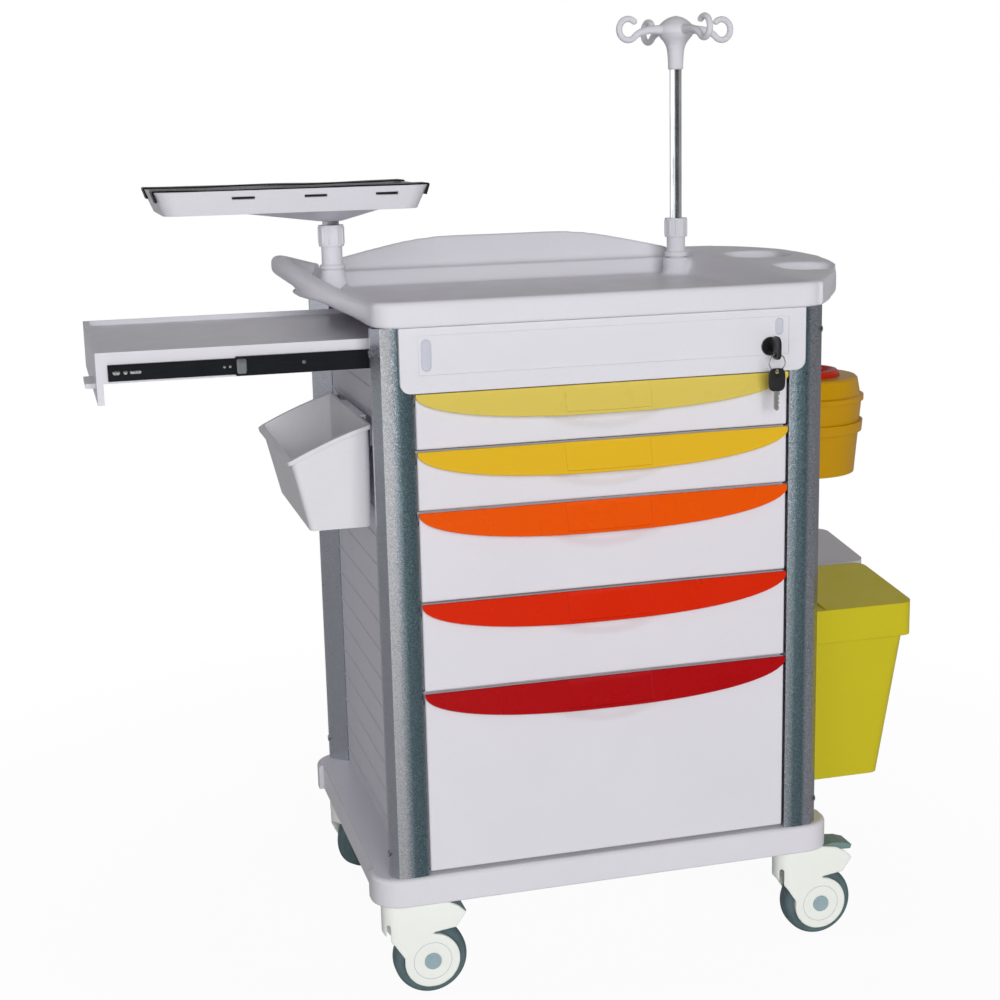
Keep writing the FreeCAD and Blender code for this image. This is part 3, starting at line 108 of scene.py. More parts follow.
# a new material, its node tree and its shader with some sockets set
def startMaterial(name, sockets):
    material = bpy.data.materials.new(name)
    material.use_nodes = True
    tree = material.node_tree
    shader = next(n for n in tree.nodes if n.type == "BSDF_PRINCIPLED")
    for key, value in sockets.items():
        shader.inputs[key].default_value = value
    return material, tree, shader


# a shader node whose inputs are plain values or other nodes' sockets
def addNode(tree, kind, inputs, **settings):
    made = tree.nodes.new(kind)
    for key, value in settings.items():
        setattr(made, key, value)
    for key, value in inputs.items():
        if isinstance(value, bpy.types.NodeSocket):
            tree.links.new(value, made.inputs[key])
        else:
            made.inputs[key].default_value = value
    return made


# other nodes' sockets linked into a node's inputs
def feed(tree, shader, sources):
    for key, source in sources.items():
        tree.links.new(source, shader.inputs[key])


# one sum of numbers or sockets, such as a product or a maximum
def compute(tree, operation, *terms):
    return addNode(tree, "ShaderNodeMath", dict(enumerate(terms)), operation=operation).outputs["Value"]


# two colours mixed by a factor; 6, 7 and 2 are the mix node's colour sockets
def mixColours(tree, factor, first, second, blend="MIX"):
    inputs = {"Factor": factor, 6: first, 7: second}
    return addNode(tree, "ShaderNodeMix", inputs, data_type="RGBA", blend_type=blend).outputs[2]


# a vector's X, Y and Z sockets
def axesOf(tree, vector):
    return addNode(tree, "ShaderNodeSeparateXYZ", {"Vector": vector}).outputs


# the place on the object in metres, scaled along its axes if asked
def objectPlace(tree, stretch=None):
    place = addNode(tree, "ShaderNodeTexCoord", {}).outputs["Object"]
    if stretch:
        place = addNode(tree, "ShaderNodeMapping", {"Vector": place, "Scale": stretch}).outputs["Vector"]
    return place


# cloudy noise whose blotches are about size metres wide
def cloud(tree, place, size, detail=2.0):
    inputs = {"Vector": place, "Scale": 1.0 / size, "Detail": detail}
    return addNode(tree, "ShaderNodeTexNoise", inputs).outputs["Fac"]


# start to stop carried in a straight line onto low to high
def spread(tree, value, low, high, start=0.3, stop=0.7):
    inputs = {"Value": value, "From Min": start, "From Max": stop, "To Min": low, "To Max": high}
    return addNode(tree, "ShaderNodeMapRange", inputs).outputs["Result"]


# colours at stops, joined in straight lines
def ramp(tree, value, stops):
    made = addNode(tree, "ShaderNodeValToRGB", {"Fac": value})
    elements = made.color_ramp.elements
    elements[0].position, elements[0].color = stops[0]
    elements[1].position, elements[1].color = stops[-1]
    for position, colour in stops[1:-1]:
        elements.new(position).color = colour
    return made.outputs["Color"]


# bumps laid over one another, the first over edges eased by a small radius
def bump(tree, shader, layers, edge=0.0):
    normal = None
    if edge:
        normal = addNode(tree, "ShaderNodeBevel", {"Radius": edge}, samples=6).outputs["Normal"]
    for height, depth in layers:
        inputs = {"Height": height, "Distance": depth, "Strength": 1.0}
        if normal:
            inputs["Normal"] = normal
        normal = addNode(tree, "ShaderNodeBump", inputs).outputs["Normal"]
    feed(tree, shader, {"Normal": normal})


# what all plastics share, in metres where it is a size; a finish may give its own
plasticLook = {"specular": 0.5, "drift": 0.05, "lightShare": 0.4, "edge": 0.001, "flowSize": 0.16,
               "flowShare": 0.75, "flowRange": (0.5, 1.25), "fleckSize": 0.0016, "markSize": 0.045,
               "markGloss": (-0.06, 0.08), "peelSize": 0.007, "peelDepth": 0.00004, "grainSize": 0.0011,
               "grainDepth": 0.00003}


# moulded plastic: flow marks a hand wide and fine flecks in the colour, handling marks in the gloss,
# orange peel under a fine grain in the bump
def mouldedPlastic(name, colour, roughness, **own):
    look = {**plasticLook, **own}
    material, tree, shader = startMaterial(name, {"IOR": 1.5, "Specular IOR Level": look["specular"]})
    place = objectPlace(tree)
    base, drift = fromScreen(*colour), look["drift"]
    flow = cloud(tree, place, look["flowSize"], 3.0)
    fleck = cloud(tree, place, look["fleckSize"])
    mixed = compute(tree, "MULTIPLY_ADD", flow, look["flowShare"], fleck)
    mixed = spread(tree, mixed, 0.0, 1.0, *look["flowRange"])
    shares = [(0.0, 1.0 - drift), (1.0, 1.0 + look["lightShare"] * drift)]
    marks = cloud(tree, place, look["markSize"], 4.0)
    feed(tree, shader, {
        "Base Color": ramp(tree, mixed, tones(base, shares)),
        "Roughness": spread(tree, marks, *moved(roughness, look["markGloss"]))})
    peel = cloud(tree, place, look["peelSize"], 1.0)
    grain = cloud(tree, place, look["grainSize"])
    bump(tree, shader, [(peel, look["peelDepth"]), (grain, look["grainDepth"])], look["edge"])
    return material


# coated aluminium with painted reflection: faces that look forward or back take a colour ramp by how far their
# normal turns sideways, shifted by where the column stands: a painted white highlight where it turns left,
# painted dark teal reflection in the middle, grey to the right; with the bent normals they look as if they
# bulged more than they do, and they carry a fine dark sparkle; chamfers and flanks take one plain paler colour,
# painted in place of the light they catch; faint drawing lines run along the height
def sparkleAluminium(name, look):
    material, tree, shader = startMaterial(name, {"Metallic": 1.0, "Specular IOR Level": 0.5})
    place = objectPlace(tree)
    cells = addNode(tree, "ShaderNodeTexVoronoi", {"Vector": place, "Scale": 1.0 / look["flake"]})
    flake = addNode(tree, "ShaderNodeSeparateColor", {"Color": cells.outputs["Color"]}).outputs["Red"]
    normal = addNode(tree, "ShaderNodeTexCoord", {}).outputs["Normal"]
    facing = compute(tree, "ABSOLUTE", axesOf(tree, normal)["Y"])
    # painted reflection: the mask of faces that look forward or back, which take the painted ramp and the
    # sparkle
    forwardFacing = spread(tree, facing, 0.0, 1.0, *look["forwardFrom"])
    # the painted reflection's ramp is shifted by where the column stands along X
    shift = spread(tree, axesOf(tree, place)["X"], 0.0, look["shift"], -look["columnX"], look["columnX"])
    turn = compute(tree, "ADD", axesOf(tree, normal)["X"], shift)
    turn = spread(tree, turn, 0.0, 1.0, -look["turnRange"], look["turnRange"])
    # painted reflection: white highlight where the normal turns left, dark teal in the middle, grey to the
    # right
    coatAndPaintedReflection = ramp(tree, turn, [(at, fromScreen(*tone)) for at, tone in look["coatAndPaintedReflection"]])
    # painted light: chamfers and flanks take one paler colour in place of the light they catch
    paintedSideTone = ramp(tree, facing, [(at, fromScreen(*tone)) for at, tone in look["paintedSideTone"]])
    spark = ramp(tree, flake, [(at, (tone, tone, tone, 1)) for at, tone in look["spark"]])
    body = mixColours(tree, forwardFacing, paintedSideTone, coatAndPaintedReflection)
    feed(tree, shader, {
        "Base Color": mixColours(tree, forwardFacing, body, spark, "MULTIPLY"),
        "Roughness": spread(tree, flake, *moved(look["roughness"], look["sparkGloss"]), 0.0, 1.0)})
    bent = {0: normal, 1: (look["bulge"], 1.0, 1.0)}
    bent = addNode(tree, "ShaderNodeVectorMath", bent, operation="MULTIPLY").outputs["Vector"]
    bent = addNode(tree, "ShaderNodeVectorMath", {0: bent}, operation="NORMALIZE").outputs["Vector"]
    drawn = cloud(tree, objectPlace(tree, look["brush"]), look["lineSize"], 1.0)
    lines = addNode(tree, "ShaderNodeBump", {"Height": drawn, "Distance": look["lineDepth"], "Normal": bent})
    feed(tree, shader, {"Normal": lines.outputs["Normal"]})
    return material


# what all plated metals share
metalLook = {"toneSize": 0.02, "tones": [(0.3, 0.85), (0.7, 1.08)], "lineGloss": (-0.05, 0.12), "edge": 0.0005}


# plated or painted metal: brushed lines along one axis, cloudy tone, gloss that follows the lines
def platedMetal(name, own):
    look = {**metalLook, **own}
    material, tree, shader = startMaterial(name, {"Metallic": look["metallic"], "Specular IOR Level": 0.5})
    brushed = cloud(tree, objectPlace(tree, look["brush"]), look["lineSize"])
    cloudy = cloud(tree, objectPlace(tree), look["toneSize"], 4.0)
    feed(tree, shader, {
        "Base Color": ramp(tree, cloudy, tones(fromScreen(*look["colour"]), look["tones"])),
        "Roughness": spread(tree, brushed, *moved(look["roughness"], look["lineGloss"]))})
    bump(tree, shader, [(brushed, look["lineDepth"])], look["edge"])
    return material


# rubber: dusty bloom over a dark body, fine pebble
def tyreRubber(name, look):
    material, tree, shader = startMaterial(name, {"Specular IOR Level": look["specular"]})
    place = objectPlace(tree)
    bloom = cloud(tree, place, look["bloomSize"], 5.0)
    feed(tree, shader, {
        "Base Color": ramp(tree, bloom, tones(fromScreen(*look["colour"]), look["tones"])),
        "Roughness": spread(tree, cloud(tree, place, look["glossSize"], 3.0), *look["gloss"])})
    bump(tree, shader, [(cloud(tree, place, look["pebbleSize"]), look["pebbleDepth"])])
    return material


# woven webbing on its own UV in metres: ribs across the width, twill rows along it, fuzz
def webbingCloth(name, look):
    sockets = {"Specular IOR Level": look["specular"], "Sheen Weight": look["sheen"], "Sheen Roughness": 0.5}
    material, tree, shader = startMaterial(name, sockets)
    place = addNode(tree, "ShaderNodeUVMap", {}, uv_map="cloth").outputs["UV"]
    waves = []
    for scale, distortion, direction in look["waves"]:
        inputs = {"Vector": place, "Scale": scale, "Distortion": distortion}
        waves.append(addNode(tree, "ShaderNodeTexWave", inputs, bands_direction=direction).outputs["Fac"])
    weave = compute(tree, "MULTIPLY", *waves)
    feed(tree, shader, {
        "Base Color": ramp(tree, weave, tones(fromScreen(*look["colour"]), look["tones"])),
        "Roughness": spread(tree, weave, *look["gloss"], 0.0, 1.0)})
    fuzz = cloud(tree, place, look["fuzzSize"])
    bump(tree, shader, [(weave, look["weaveDepth"]), (fuzz, look["fuzzDepth"])])
    return material


gripGloss = {"specular": 0.3, "drift": 0.02}
# the column's colours: the first ramp is painted reflection over the coat's tone, the second a paler painted
# colour for chamfers and flanks
aluminiumLook = {
    "coatAndPaintedReflection": [(0.0, (252, 253, 255)), (0.26, (240, 243, 250)), (0.44, (172, 188, 197)), (0.56, (122, 146, 153)),
             (0.86, (112, 136, 144)), (1.0, (180, 183, 193))],
    "paintedSideTone": [(0.3, (180, 181, 190)), (0.42, (178, 181, 190))], "spark": [(0.0, 0.65), (0.75, 1.0), (1.0, 1.6)],
    "forwardFrom": (0.9, 0.95), "turnRange": 0.25, "columnX": 0.28, "shift": 0.13, "bulge": 2.3, "roughness": 0.3,
    "sparkGloss": (0.08, -0.06), "flake": 0.0008, "brush": (1.0, 1.0, 0.02), "lineSize": 0.0012,
    "lineDepth": 0.00001}
zincLook = {"colour": (172, 174, 178), "metallic": 1.0, "roughness": 0.34, "brush": (1.0, 0.06, 1.0),
            "lineSize": 0.002, "lineDepth": 0.00003}
slideLook = {"colour": (22, 25, 32), "metallic": 0.5, "roughness": 0.32, "brush": (0.04, 1.0, 1.0),
             "lineSize": 0.0015, "lineDepth": 0.00003}
chromeLook = {"colour": (222, 224, 228), "metallic": 1.0, "roughness": 0.1, "brush": (1.0, 1.0, 0.03),
              "lineSize": 0.0012, "lineDepth": 0.000006}
steelLook = {"colour": (205, 204, 200), "metallic": 1.0, "roughness": 0.22, "brush": (1.0, 1.0, 0.08),
             "lineSize": 0.0008, "lineDepth": 0.00001}
rubberLook = {"colour": (92, 112, 116), "tones": [(0.3, 0.8), (0.75, 1.15)], "specular": 0.35,
              "bloomSize": 0.02, "glossSize": 0.01, "gloss": (0.45, 0.7), "pebbleSize": 0.0009,
              "pebbleDepth": 0.00006}
webbingLook = {"colour": (20, 20, 23), "tones": [(0.0, 0.5), (0.6, 1.0), (1.0, 1.9)], "specular": 0.3,
               "sheen": 0.25, "gloss": (0.9, 0.62), "waves": [(150.0, 0.6, "X"), (260.0, 0.4, "DIAGONAL")],
               "weaveDepth": 0.0003, "fuzzSize": 0.0006, "fuzzDepth": 0.0001}
finishes = {
    "white": mouldedPlastic("lilac_white_abs", (231, 229, 236), 0.34),
    "soft": mouldedPlastic("soft_edged_abs", (231, 229, 236), 0.34, edge=0.003),
    "panel": mouldedPlastic("side_panel_abs", (222, 220, 230), 0.45),
    "binWhite": mouldedPlastic("dump_bin_abs", (233, 232, 236), 0.4),
    "paleYellow": mouldedPlastic("pale_yellow_grip", (224, 202, 96), 0.3, **gripGloss),
    "amber": mouldedPlastic("amber_grip", (234, 188, 40), 0.3, **gripGloss),
    "orange": mouldedPlastic("orange_grip", (243, 88, 0), 0.28, **gripGloss),
    "vermilion": mouldedPlastic("vermilion_grip", (222, 40, 2), 0.28, **gripGloss),
    "red": mouldedPlastic("deep_red_grip", (178, 8, 14), 0.28, **gripGloss),
    "sharpsYellow": mouldedPlastic("sharps_yellow", (204, 152, 0), 0.36, specular=0.3),
    "sharpsRed": mouldedPlastic("sharps_red", (196, 34, 8), 0.34, specular=0.35),
    "lime": mouldedPlastic("lime_yellow_bin", (210, 196, 30), 0.38, specular=0.35),
    "binGrey": mouldedPlastic("grey_bin", (206, 204, 211), 0.42),
    "hood": mouldedPlastic("castor_hood_white", (252, 255, 248), 0.33, drift=0.02),
    "pedal": mouldedPlastic("pedal_teal", (122, 148, 146), 0.42, edge=0.0016),
    "cap": mouldedPlastic("hub_cap_blue_grey", (160, 184, 190), 0.4),
    "mark": mouldedPlastic("soft_grey_mark", (206, 208, 220), 0.4),
    "keyBlack": mouldedPlastic("key_black", (28, 29, 32), 0.34),
    "aluminium": sparkleAluminium("sparkle_aluminium", aluminiumLook),
    "zinc": platedMetal("zinc_plate", zincLook),
    "slide": platedMetal("black_slide_steel", slideLook),
    "chrome": platedMetal("chrome_tube", chromeLook),
    "steel": platedMetal("key_steel", steelLook),
    "rubber": tyreRubber("teal_tyre_rubber", rubberLook),
    "webbing": webbingCloth("black_webbing", webbingLook),
}
print("stage: materials,", len(finishes))

# CAD nodes that keep their shape: a finish each
nodeFinish = {
    "white": ["front_fascia", "post_sockets", "iv_collar", "defib_collar", "defib_platform", "shelf_board"]
             + [f"drawer_{i}_box" for i in range(1, 6)],
    "soft": ["base_deck"],
    "panel": ["left_side_panel", "right_side_panel", "back_panel"],
    "binWhite": ["dump_bin"],
    "aluminium": ["corner_columns"],
    "chrome": ["iv_pole"],
    "zinc": ["hanging_rails", "panel_screws", "castor_stems", "drawer_guides", "defib_post"],
    "slide": ["shelf_inner_rails", "shelf_mid_rails", "shelf_outer_rails"],
    "sharpsYellow": ["sharps_tub", "sharps_cover", "sharps_holder"],
    "sharpsRed": ["sharps_cap"],
    "lime": ["waste_bin_yellow", "waste_lid_yellow"],
    "binGrey": ["waste_bin_grey", "waste_lid_grey"],
    "keyBlack": ["lock_barrel"],
    "pedal": [n for n in nodes if n.startswith("brake_pedal")],
}
for finish, names in nodeFinish.items():
    for name in names:
        nodes[name].data.materials.clear()
        nodes[name].data.materials.append(finishes[finish])
print("stage: node finishes")


# a node's lowest and highest corner in millimetres
def boxMm(node):
    low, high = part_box(node)
    return np.array(low) * 1000.0, np.array(high) * 1000.0


# a vector over its length
def unit(vector):
    return np.asarray(vector, float) / np.linalg.norm(vector)


# distance run along a line of points: the sum of the steps so far
def runAlong(path):
    return np.concatenate([[0], np.cumsum(np.linalg.norm(np.diff(path, axis=0), axis=1))])


# flat points set in space: origin + x * across + y * up + height * the plane's normal
def inSpace(flat, height, origin, across, up):
    across, up = unit(across), unit(up)
    return np.asarray(origin) + flat[..., :1] * across + flat[..., 1:] * up + height * np.cross(across, up)


# faces of a grid of points: each cell is a quad, and closing joins the last row or column to the first
def gridQuads(rows, columns, closeRows=False, closeColumns=False):
    i, j = np.meshgrid(np.arange(rows if closeRows else rows - 1),
                       np.arange(columns if closeColumns else columns - 1), indexing="ij")
    down, across = (i + 1) % rows, (j + 1) % columns
    return np.stack([i * columns + j, down * columns + j, down * columns + across, i * columns + across],
                    axis=-1).reshape(-1, 4)


# both end rows drawn to their middle points, so a sweep has no open ends
def closeEnds(grid):
    first = np.broadcast_to(grid[:1].mean(axis=1, keepdims=True), grid[:1].shape)
    last = np.broadcast_to(grid[-1:].mean(axis=1, keepdims=True), grid[-1:].shape)
    return np.concatenate([first, grid, last])


# the body a piece moves with and the CAD nodes it stands in for
def attach(piece, body, replaced=()):
    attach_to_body(piece, body)
    if replaced:
        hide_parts(*replaced)


# one object from surfaces in millimetres: poles and seams merged, faces outwards, creases kept sharp
def makePiece(name, surfaces, finish, body, replaced=(), crease=38.0):
    starts = np.cumsum([0] + [points.reshape(-1, 3).shape[0] for points, quads in surfaces])
    points = np.concatenate([points.reshape(-1, 3) for points, quads in surfaces]) * 0.001
    quads = np.concatenate([quads + start for (_, quads), start in zip(surfaces, starts)])
    mesh = bpy.data.meshes.new(name)
    mesh.from_pydata(points.tolist(), [], quads.tolist())
    work = bmesh.new()
    work.from_mesh(mesh)
    bmesh.ops.remove_doubles(work, verts=work.verts, dist=2e-6)
    bmesh.ops.dissolve_degenerate(work, edges=work.edges, dist=1e-7)
    bmesh.ops.recalc_face_normals(work, faces=work.faces)
    work.to_mesh(mesh)
    work.free()
    mesh.shade_smooth()
    mesh.set_sharp_from_angle(angle=math.radians(crease))
    mesh.materials.append(finishes[finish])
    piece = addObject(name, mesh)
    attach(piece, body, replaced)
    return piece


# profile of (radius, distance along the axis) turned a full round about an axis through centre
def turned(profile, centre, axis, steps=72, closed=False):
    profile = np.asarray(profile, float)
    axis = unit(axis)
    side = unit(np.cross(axis, (0, 0, 1) if abs(axis[2]) < 0.9 else (1, 0, 0)))
    third = np.cross(axis, side)
    angle = np.arange(steps) * 2 * np.pi / steps
    ring = np.cos(angle)[:, None] * side + np.sin(angle)[:, None] * third
    points = np.asarray(centre) + profile[:, 1, None, None] * axis + profile[:, 0, None, None] * ring[None]
    return points, gridQuads(len(profile), steps, closed, True)


# round section carried along a flat path: circle of the given radius across the path's tangent
def tube(path, radius, origin, across, up, sides=20, loop=False):
    path = np.asarray(path, float)
    if loop:
        tangent = np.roll(path, -1, axis=0) - np.roll(path, 1, axis=0)
    else:
        tangent = np.gradient(path, axis=0)
    tangent = tangent / np.linalg.norm(tangent, axis=1, keepdims=True)
    normal = np.stack([-tangent[:, 1], tangent[:, 0]], axis=1)
    angle = (np.arange(sides) * 2 * np.pi / sides)[:, None]
    radius = np.broadcast_to(np.asarray(radius, float), len(path))[:, None, None]
    flat = path[:, None] + radius * np.cos(angle) * normal[:, None]
    points = inSpace(flat, radius * np.sin(angle), origin, across, up)
    if not loop:
        points = closeEnds(points)
    return points, gridQuads(len(points), sides, loop, True)


# flat plate with a rounded rim: the outline drawn towards its middle on both faces
def plate(outline, thickness, origin, across, up, rim=0.9):
    outline = np.asarray(outline, float)
    middle = outline.mean(axis=0)
    bend = 0.5 + 0.5 * rim
    section = np.array([(0.0, 1.0), (rim, 1.0), (bend, 0.8), (1.0, 0.3), (1.0, -0.3), (bend, -0.8), (rim, -1.0),
                        (0.0, -1.0)]).reshape(-1, 1, 1, 2)
    flat = middle + section[..., 0] * (outline - middle)
    points = inSpace(flat, section[..., 1] * thickness / 2, origin, across, up)
    return points, gridQuads(len(section), len(outline), False, True)


# stadium outline: a circle's points pushed apart by the straight length
def pill(length, width, upright=False, count=48):
    angle = np.arange(count) * 2 * np.pi / count + np.pi / count
    push = np.where(np.cos(angle) > 0, 1, -1) * (length - width) / 2
    shape = np.stack([np.cos(angle) * width / 2 + push, np.sin(angle) * width / 2], axis=1)
    return shape[:, ::-1] * (1, -1) if upright else shape


# superellipse outline: |x/a|^n + |y/b|^n = 1
def roundedOutline(a, b, power=4.0, count=96):
    angle = np.arange(count) * 2 * np.pi / count
    c, s = np.cos(angle), np.sin(angle)
    x, y = a * np.sign(c) * np.abs(c) ** (2 / power), b * np.sign(s) * np.abs(s) ** (2 / power)
    return np.stack([x, y], axis=1)


# a piece melted into one skin: voxels, then smoothing that lets its corners flow into one another
def melt(piece, voxelMm, rounds):
    remesh = piece.modifiers.new("melt", "REMESH")
    remesh.mode, remesh.voxel_size, remesh.use_smooth_shade = "VOXEL", voxelMm * 0.001, True
    soften = piece.modifiers.new("soften", "SMOOTH")
    soften.factor, soften.iterations = 0.5, rounds


trayLook = {"voxel": 2.8, "rounds": 14, "keep": 0.5, "finish": "white", "slot": "white_abs"}
hoodLook = {"voxel": 1.2, "rounds": 10, "keep": 0.7, "finish": "hood", "slot": "castor_white"}


# a node's own mesh melted, then thinned to the share of faces to keep
def meltedCopy(node, body, look):
    work = bmesh.new()
    work.from_mesh(nodes[node].data)
    work.transform(nodes[node].matrix_world)
    bmesh.ops.remove_doubles(work, verts=work.verts, dist=1e-5)
    mesh = bpy.data.meshes.new(f"{node}_skin")
    work.to_mesh(mesh)
    work.free()
    mesh.materials.clear()
    mesh.materials.append(finishes[look["finish"]])
    piece = addObject(f"{node}_skin", mesh)
    melt(piece, look["voxel"], look["rounds"])
    piece.modifiers.new("thin", "DECIMATE").ratio = look["keep"]
    attach(piece, body, [node])


meltedCopy("top_tray", "cabinet", trayLook)
for corner in castorCorners:
    meltedCopy(f"castor_fork_{corner}", f"castor_{corner}", hoodLook)
print("stage: melted tray and castor hoods")

# drawer grips: lens whose depth is end + (drop - end) * sqrt(1 - |s|^power), its face sloping outwards to the
# lower edge, with a shallow panel in the middle and a hollow underside
gripLook = {"endDrop": 3.0, "topStand": 3.0, "lip": 5.0, "root": 12.0, "rootGap": 0.8, "panelHalf": 57.0,
            "panelDepth": 1.1, "panelMargin": 4.6, "panelShare": 0.6, "panelRows": 10, "step": 0.5,
            "rimGap": 0.2, "rimShare": 0.05, "rimTall": 20.0, "rimRound": 1.2, "lipRound": 0.6, "power": 2.4,
            "columns": 110}


def gripSurface(low, high, look):
    half, face, top = high
    drop, reach = high[2] - low[2], high[1] - low[1]

    # how far the face stands out at a height below the top
    def stand(h):
        return look["topStand"] + (reach - look["topStand"]) * h / drop

    # how far the underside's hollow reaches out at that height
    def hollow(h):
        return (reach - look["lip"]) * np.clip((h - look["root"]) / (drop - look["root"]), 0, 1)

    ends = np.array([-1.0, 1.0])
    sweep = np.sin(np.linspace(-np.pi / 2, np.pi / 2, look["columns"])) * half
    panelEdges = [ends * look["panelHalf"], ends * (look["panelHalf"] + look["step"])]
    sweep = np.unique(np.concatenate([sweep, *panelEdges]))
    lens = np.sqrt(np.clip(1 - np.abs(sweep / half) ** look["power"], 0, 1))
    depth = look["endDrop"] + (drop - look["endDrop"]) * lens
    panelFoot = np.maximum(depth - look["panelMargin"], look["panelShare"] * depth)
    panelRows = [panelFoot * share for share in np.linspace(0, 1, look["panelRows"])]
    rimRows = [np.minimum(panelFoot + look["step"], depth - look["rimGap"]),
               depth - look["rimShare"] * depth.clip(0, look["rimTall"])]
    sunk = look["panelDepth"] * (np.abs(sweep) <= look["panelHalf"] + 0.01)
    ring = [(0 * depth, 0 * depth), (stand(panelRows[0]), panelRows[0])]
    ring += [(stand(h) - sunk, h) for h in panelRows[1:]] + [(stand(h), h) for h in rimRows]
    ring += [(stand(depth) - look["rimRound"], depth), (hollow(depth) + look["lipRound"], depth),
             (hollow(depth), depth - look["lipRound"]),
             (hollow(np.minimum(look["root"], depth)), np.minimum(look["root"], depth - look["rootGap"]))]
    grid = closeEnds(np.stack([np.stack([sweep, face - y, top - h], axis=-1) for y, h in ring], axis=1))
    return grid, gridQuads(*grid.shape[:2], False, True)


gripFinishes = {"paleYellow": "grip_pale_yellow", "amber": "grip_amber", "orange": "grip_orange",
                "vermilion": "grip_vermilion", "red": "grip_red"}
for i, (finish, slot) in enumerate(gripFinishes.items(), 1):
    node = f"drawer_{i}_handle"
    makePiece(f"grip_{i}", [gripSurface(*boxMm(node), gripLook)], finish, f"drawer_{i}", [node])
print("stage: grips")

# drawer fronts: a flat face rolled back round its edges, with a soft dish for fingers under the grip:
# depth * smooth(1 - (x/a)^2 - (h/b)^2), faded in below the top edge
frontLook = {"edge": 3.0, "stepX": 6.0, "stepZ": 3.0, "dishHalf": 112.0, "dishBelow": 21.0, "dishDepth": 6.0,
             "dishFrom": 8.0, "dishFade": 6.0, "soft": 0.42}


# points from low to high, close together within the rolled edges
def spacedAlong(low, high, step, edge):
    near = edge * np.array([0.0, 0.06, 0.2, 0.45, 0.7, 1.0])
    inner = np.linspace(low + edge, high - edge, max(4, int((high - low) / step)))
    return np.unique(np.round(np.concatenate([low + near, inner, high - near]), 4))


def frontSurface(low, high, gripDrop, look):
    r = look["edge"]
    xs = spacedAlong(low[0], high[0], look["stepX"], r)
    zs = spacedAlong(low[2], high[2], look["stepZ"], r)
    x, z = np.meshgrid(xs, zs, indexing="ij")
    dx = np.clip(r - (high[0] - np.abs(x)), 0, r)
    dz = np.clip(r - np.minimum(z - low[2], high[2] - z), 0, r)
    roll = r - np.sqrt(np.clip(r * r - dx * dx - dz * dz, 0, None))
    below = high[2] - z
    fall = gripDrop + r + look["dishBelow"]
    inside = np.clip((1 - (x / look["dishHalf"]) ** 2 - (below / fall) ** 2) / look["soft"], 0, 1)
    fade = np.clip((below - look["dishFrom"]) / look["dishFade"], 0, 1)
    dish = look["dishDepth"] * inside * inside * (3 - 2 * inside) * fade
    border = (dx >= r) | (dz >= r)
    front = np.stack([x, np.where(border, high[1], low[1] + roll + dish), z], axis=-1)
    back = np.stack([x, np.full_like(x, high[1]), z], axis=-1)
    quads = gridQuads(len(xs), len(zs))
    return [(front, quads), (back, quads[:, ::-1])]


for i in range(1, 6):
    node = f"drawer_{i}_front"
    gripLow, gripHigh = boxMm(f"drawer_{i}_handle")
    surfaces = frontSurface(*boxMm(node), gripHigh[2] - gripLow[2], frontLook)
    makePiece(f"drawer_face_{i}", surfaces, "white", f"drawer_{i}", [node])
print("stage: drawer fronts")

# hook head: a turned dome and neck, and four arms that curl into open rings; all melted into one skin.
# The dome is given by its radius and height at some waist points
headLook = {"hooks": 4, "turnDeg": 10.0, "reach": 81.0, "rise": 53.0, "ring": 15.1, "wire": 4.7, "arm": 7.6,
            "armStart": 12.0, "armDrop": 1.0, "armLead": (22.0, 1.5), "ringLead": 17.0, "startDeg": 225.0,
            "sweepDeg": 285.0, "voxel": 0.9, "rounds": 8,
            "dome": [(0.0, -5.0), (11.0, -5.0), (11.3, -3.5), (11.4, 4.0), (11.8, 12.0), (12.6, 22.0),
                     (14.6, 30.0), (18.2, 36.0), (23.6, 42.0), (27.4, 48.0), (27.6, 54.0), (24.6, 60.0),
                     (18.0, 66.0), (10.2, 70.5), (0.0, 73.0)]}


# the waist points joined by straight runs; the melting rounds them
def domeProfile(look):
    points = np.array(look["dome"])
    at = np.arange(len(points))
    fine = np.linspace(0, len(points) - 1, 80)
    return np.stack([np.interp(fine, at, points[:, 0]), np.interp(fine, at, points[:, 1])], axis=1)


# one arm: a cubic curve from the dome to the ring's foot, then the ring's arc; the tip is rounded off
def hookPath(look):
    t = np.linspace(0, 1, 40)[:, None]
    centre = np.array([look["reach"], look["rise"]])
    turn = np.radians(look["startDeg"])
    foot = centre + look["ring"] * np.array([np.cos(turn), np.sin(turn)])
    root = np.array([look["armStart"], look["rise"] - look["armDrop"]])
    a = root + np.array(look["armLead"])
    b = foot - look["ringLead"] * np.array([-np.sin(turn), np.cos(turn)])
    arm = (1 - t) ** 3 * root + 3 * (1 - t) ** 2 * t * a + 3 * (1 - t) * t ** 2 * b + t ** 3 * foot
    angle = turn + np.radians(np.linspace(0, look["sweepDeg"], 140)[1:])
    ring = centre + look["ring"] * np.stack([np.cos(angle), np.sin(angle)], axis=1)
    path = np.concatenate([arm, ring])
    taper = look["arm"] + (look["wire"] - look["arm"]) * t[:, 0] ** 0.8
    radius = np.concatenate([taper, np.full(len(ring), look["wire"])])
    run = runAlong(path)
    left = np.clip(run[-1] - run, 0, look["wire"])
    return path, radius * np.sqrt(np.clip(1 - (1 - left / look["wire"]) ** 2, 0.02, 1))


poleLow, poleHigh = boxMm("iv_pole")
headFoot = np.array([(poleLow[0] + poleHigh[0]) / 2, (poleLow[1] + poleHigh[1]) / 2, poleHigh[2]])
path, radius = hookPath(headLook)
headParts = [turned(domeProfile(headLook), headFoot, (0, 0, 1))]
for k in range(headLook["hooks"]):
    turn = math.radians(headLook["turnDeg"] + 360.0 * k / headLook["hooks"])
    headParts.append(tube(path, radius, headFoot, (math.cos(turn), math.sin(turn), 0), (0, 0, 1)))
head = makePiece("hook_head_skin", headParts, "white", "iv_mast", ["iv_hook_head"], 80.0)
melt(head, headLook["voxel"], headLook["rounds"])
print("stage: hook head")

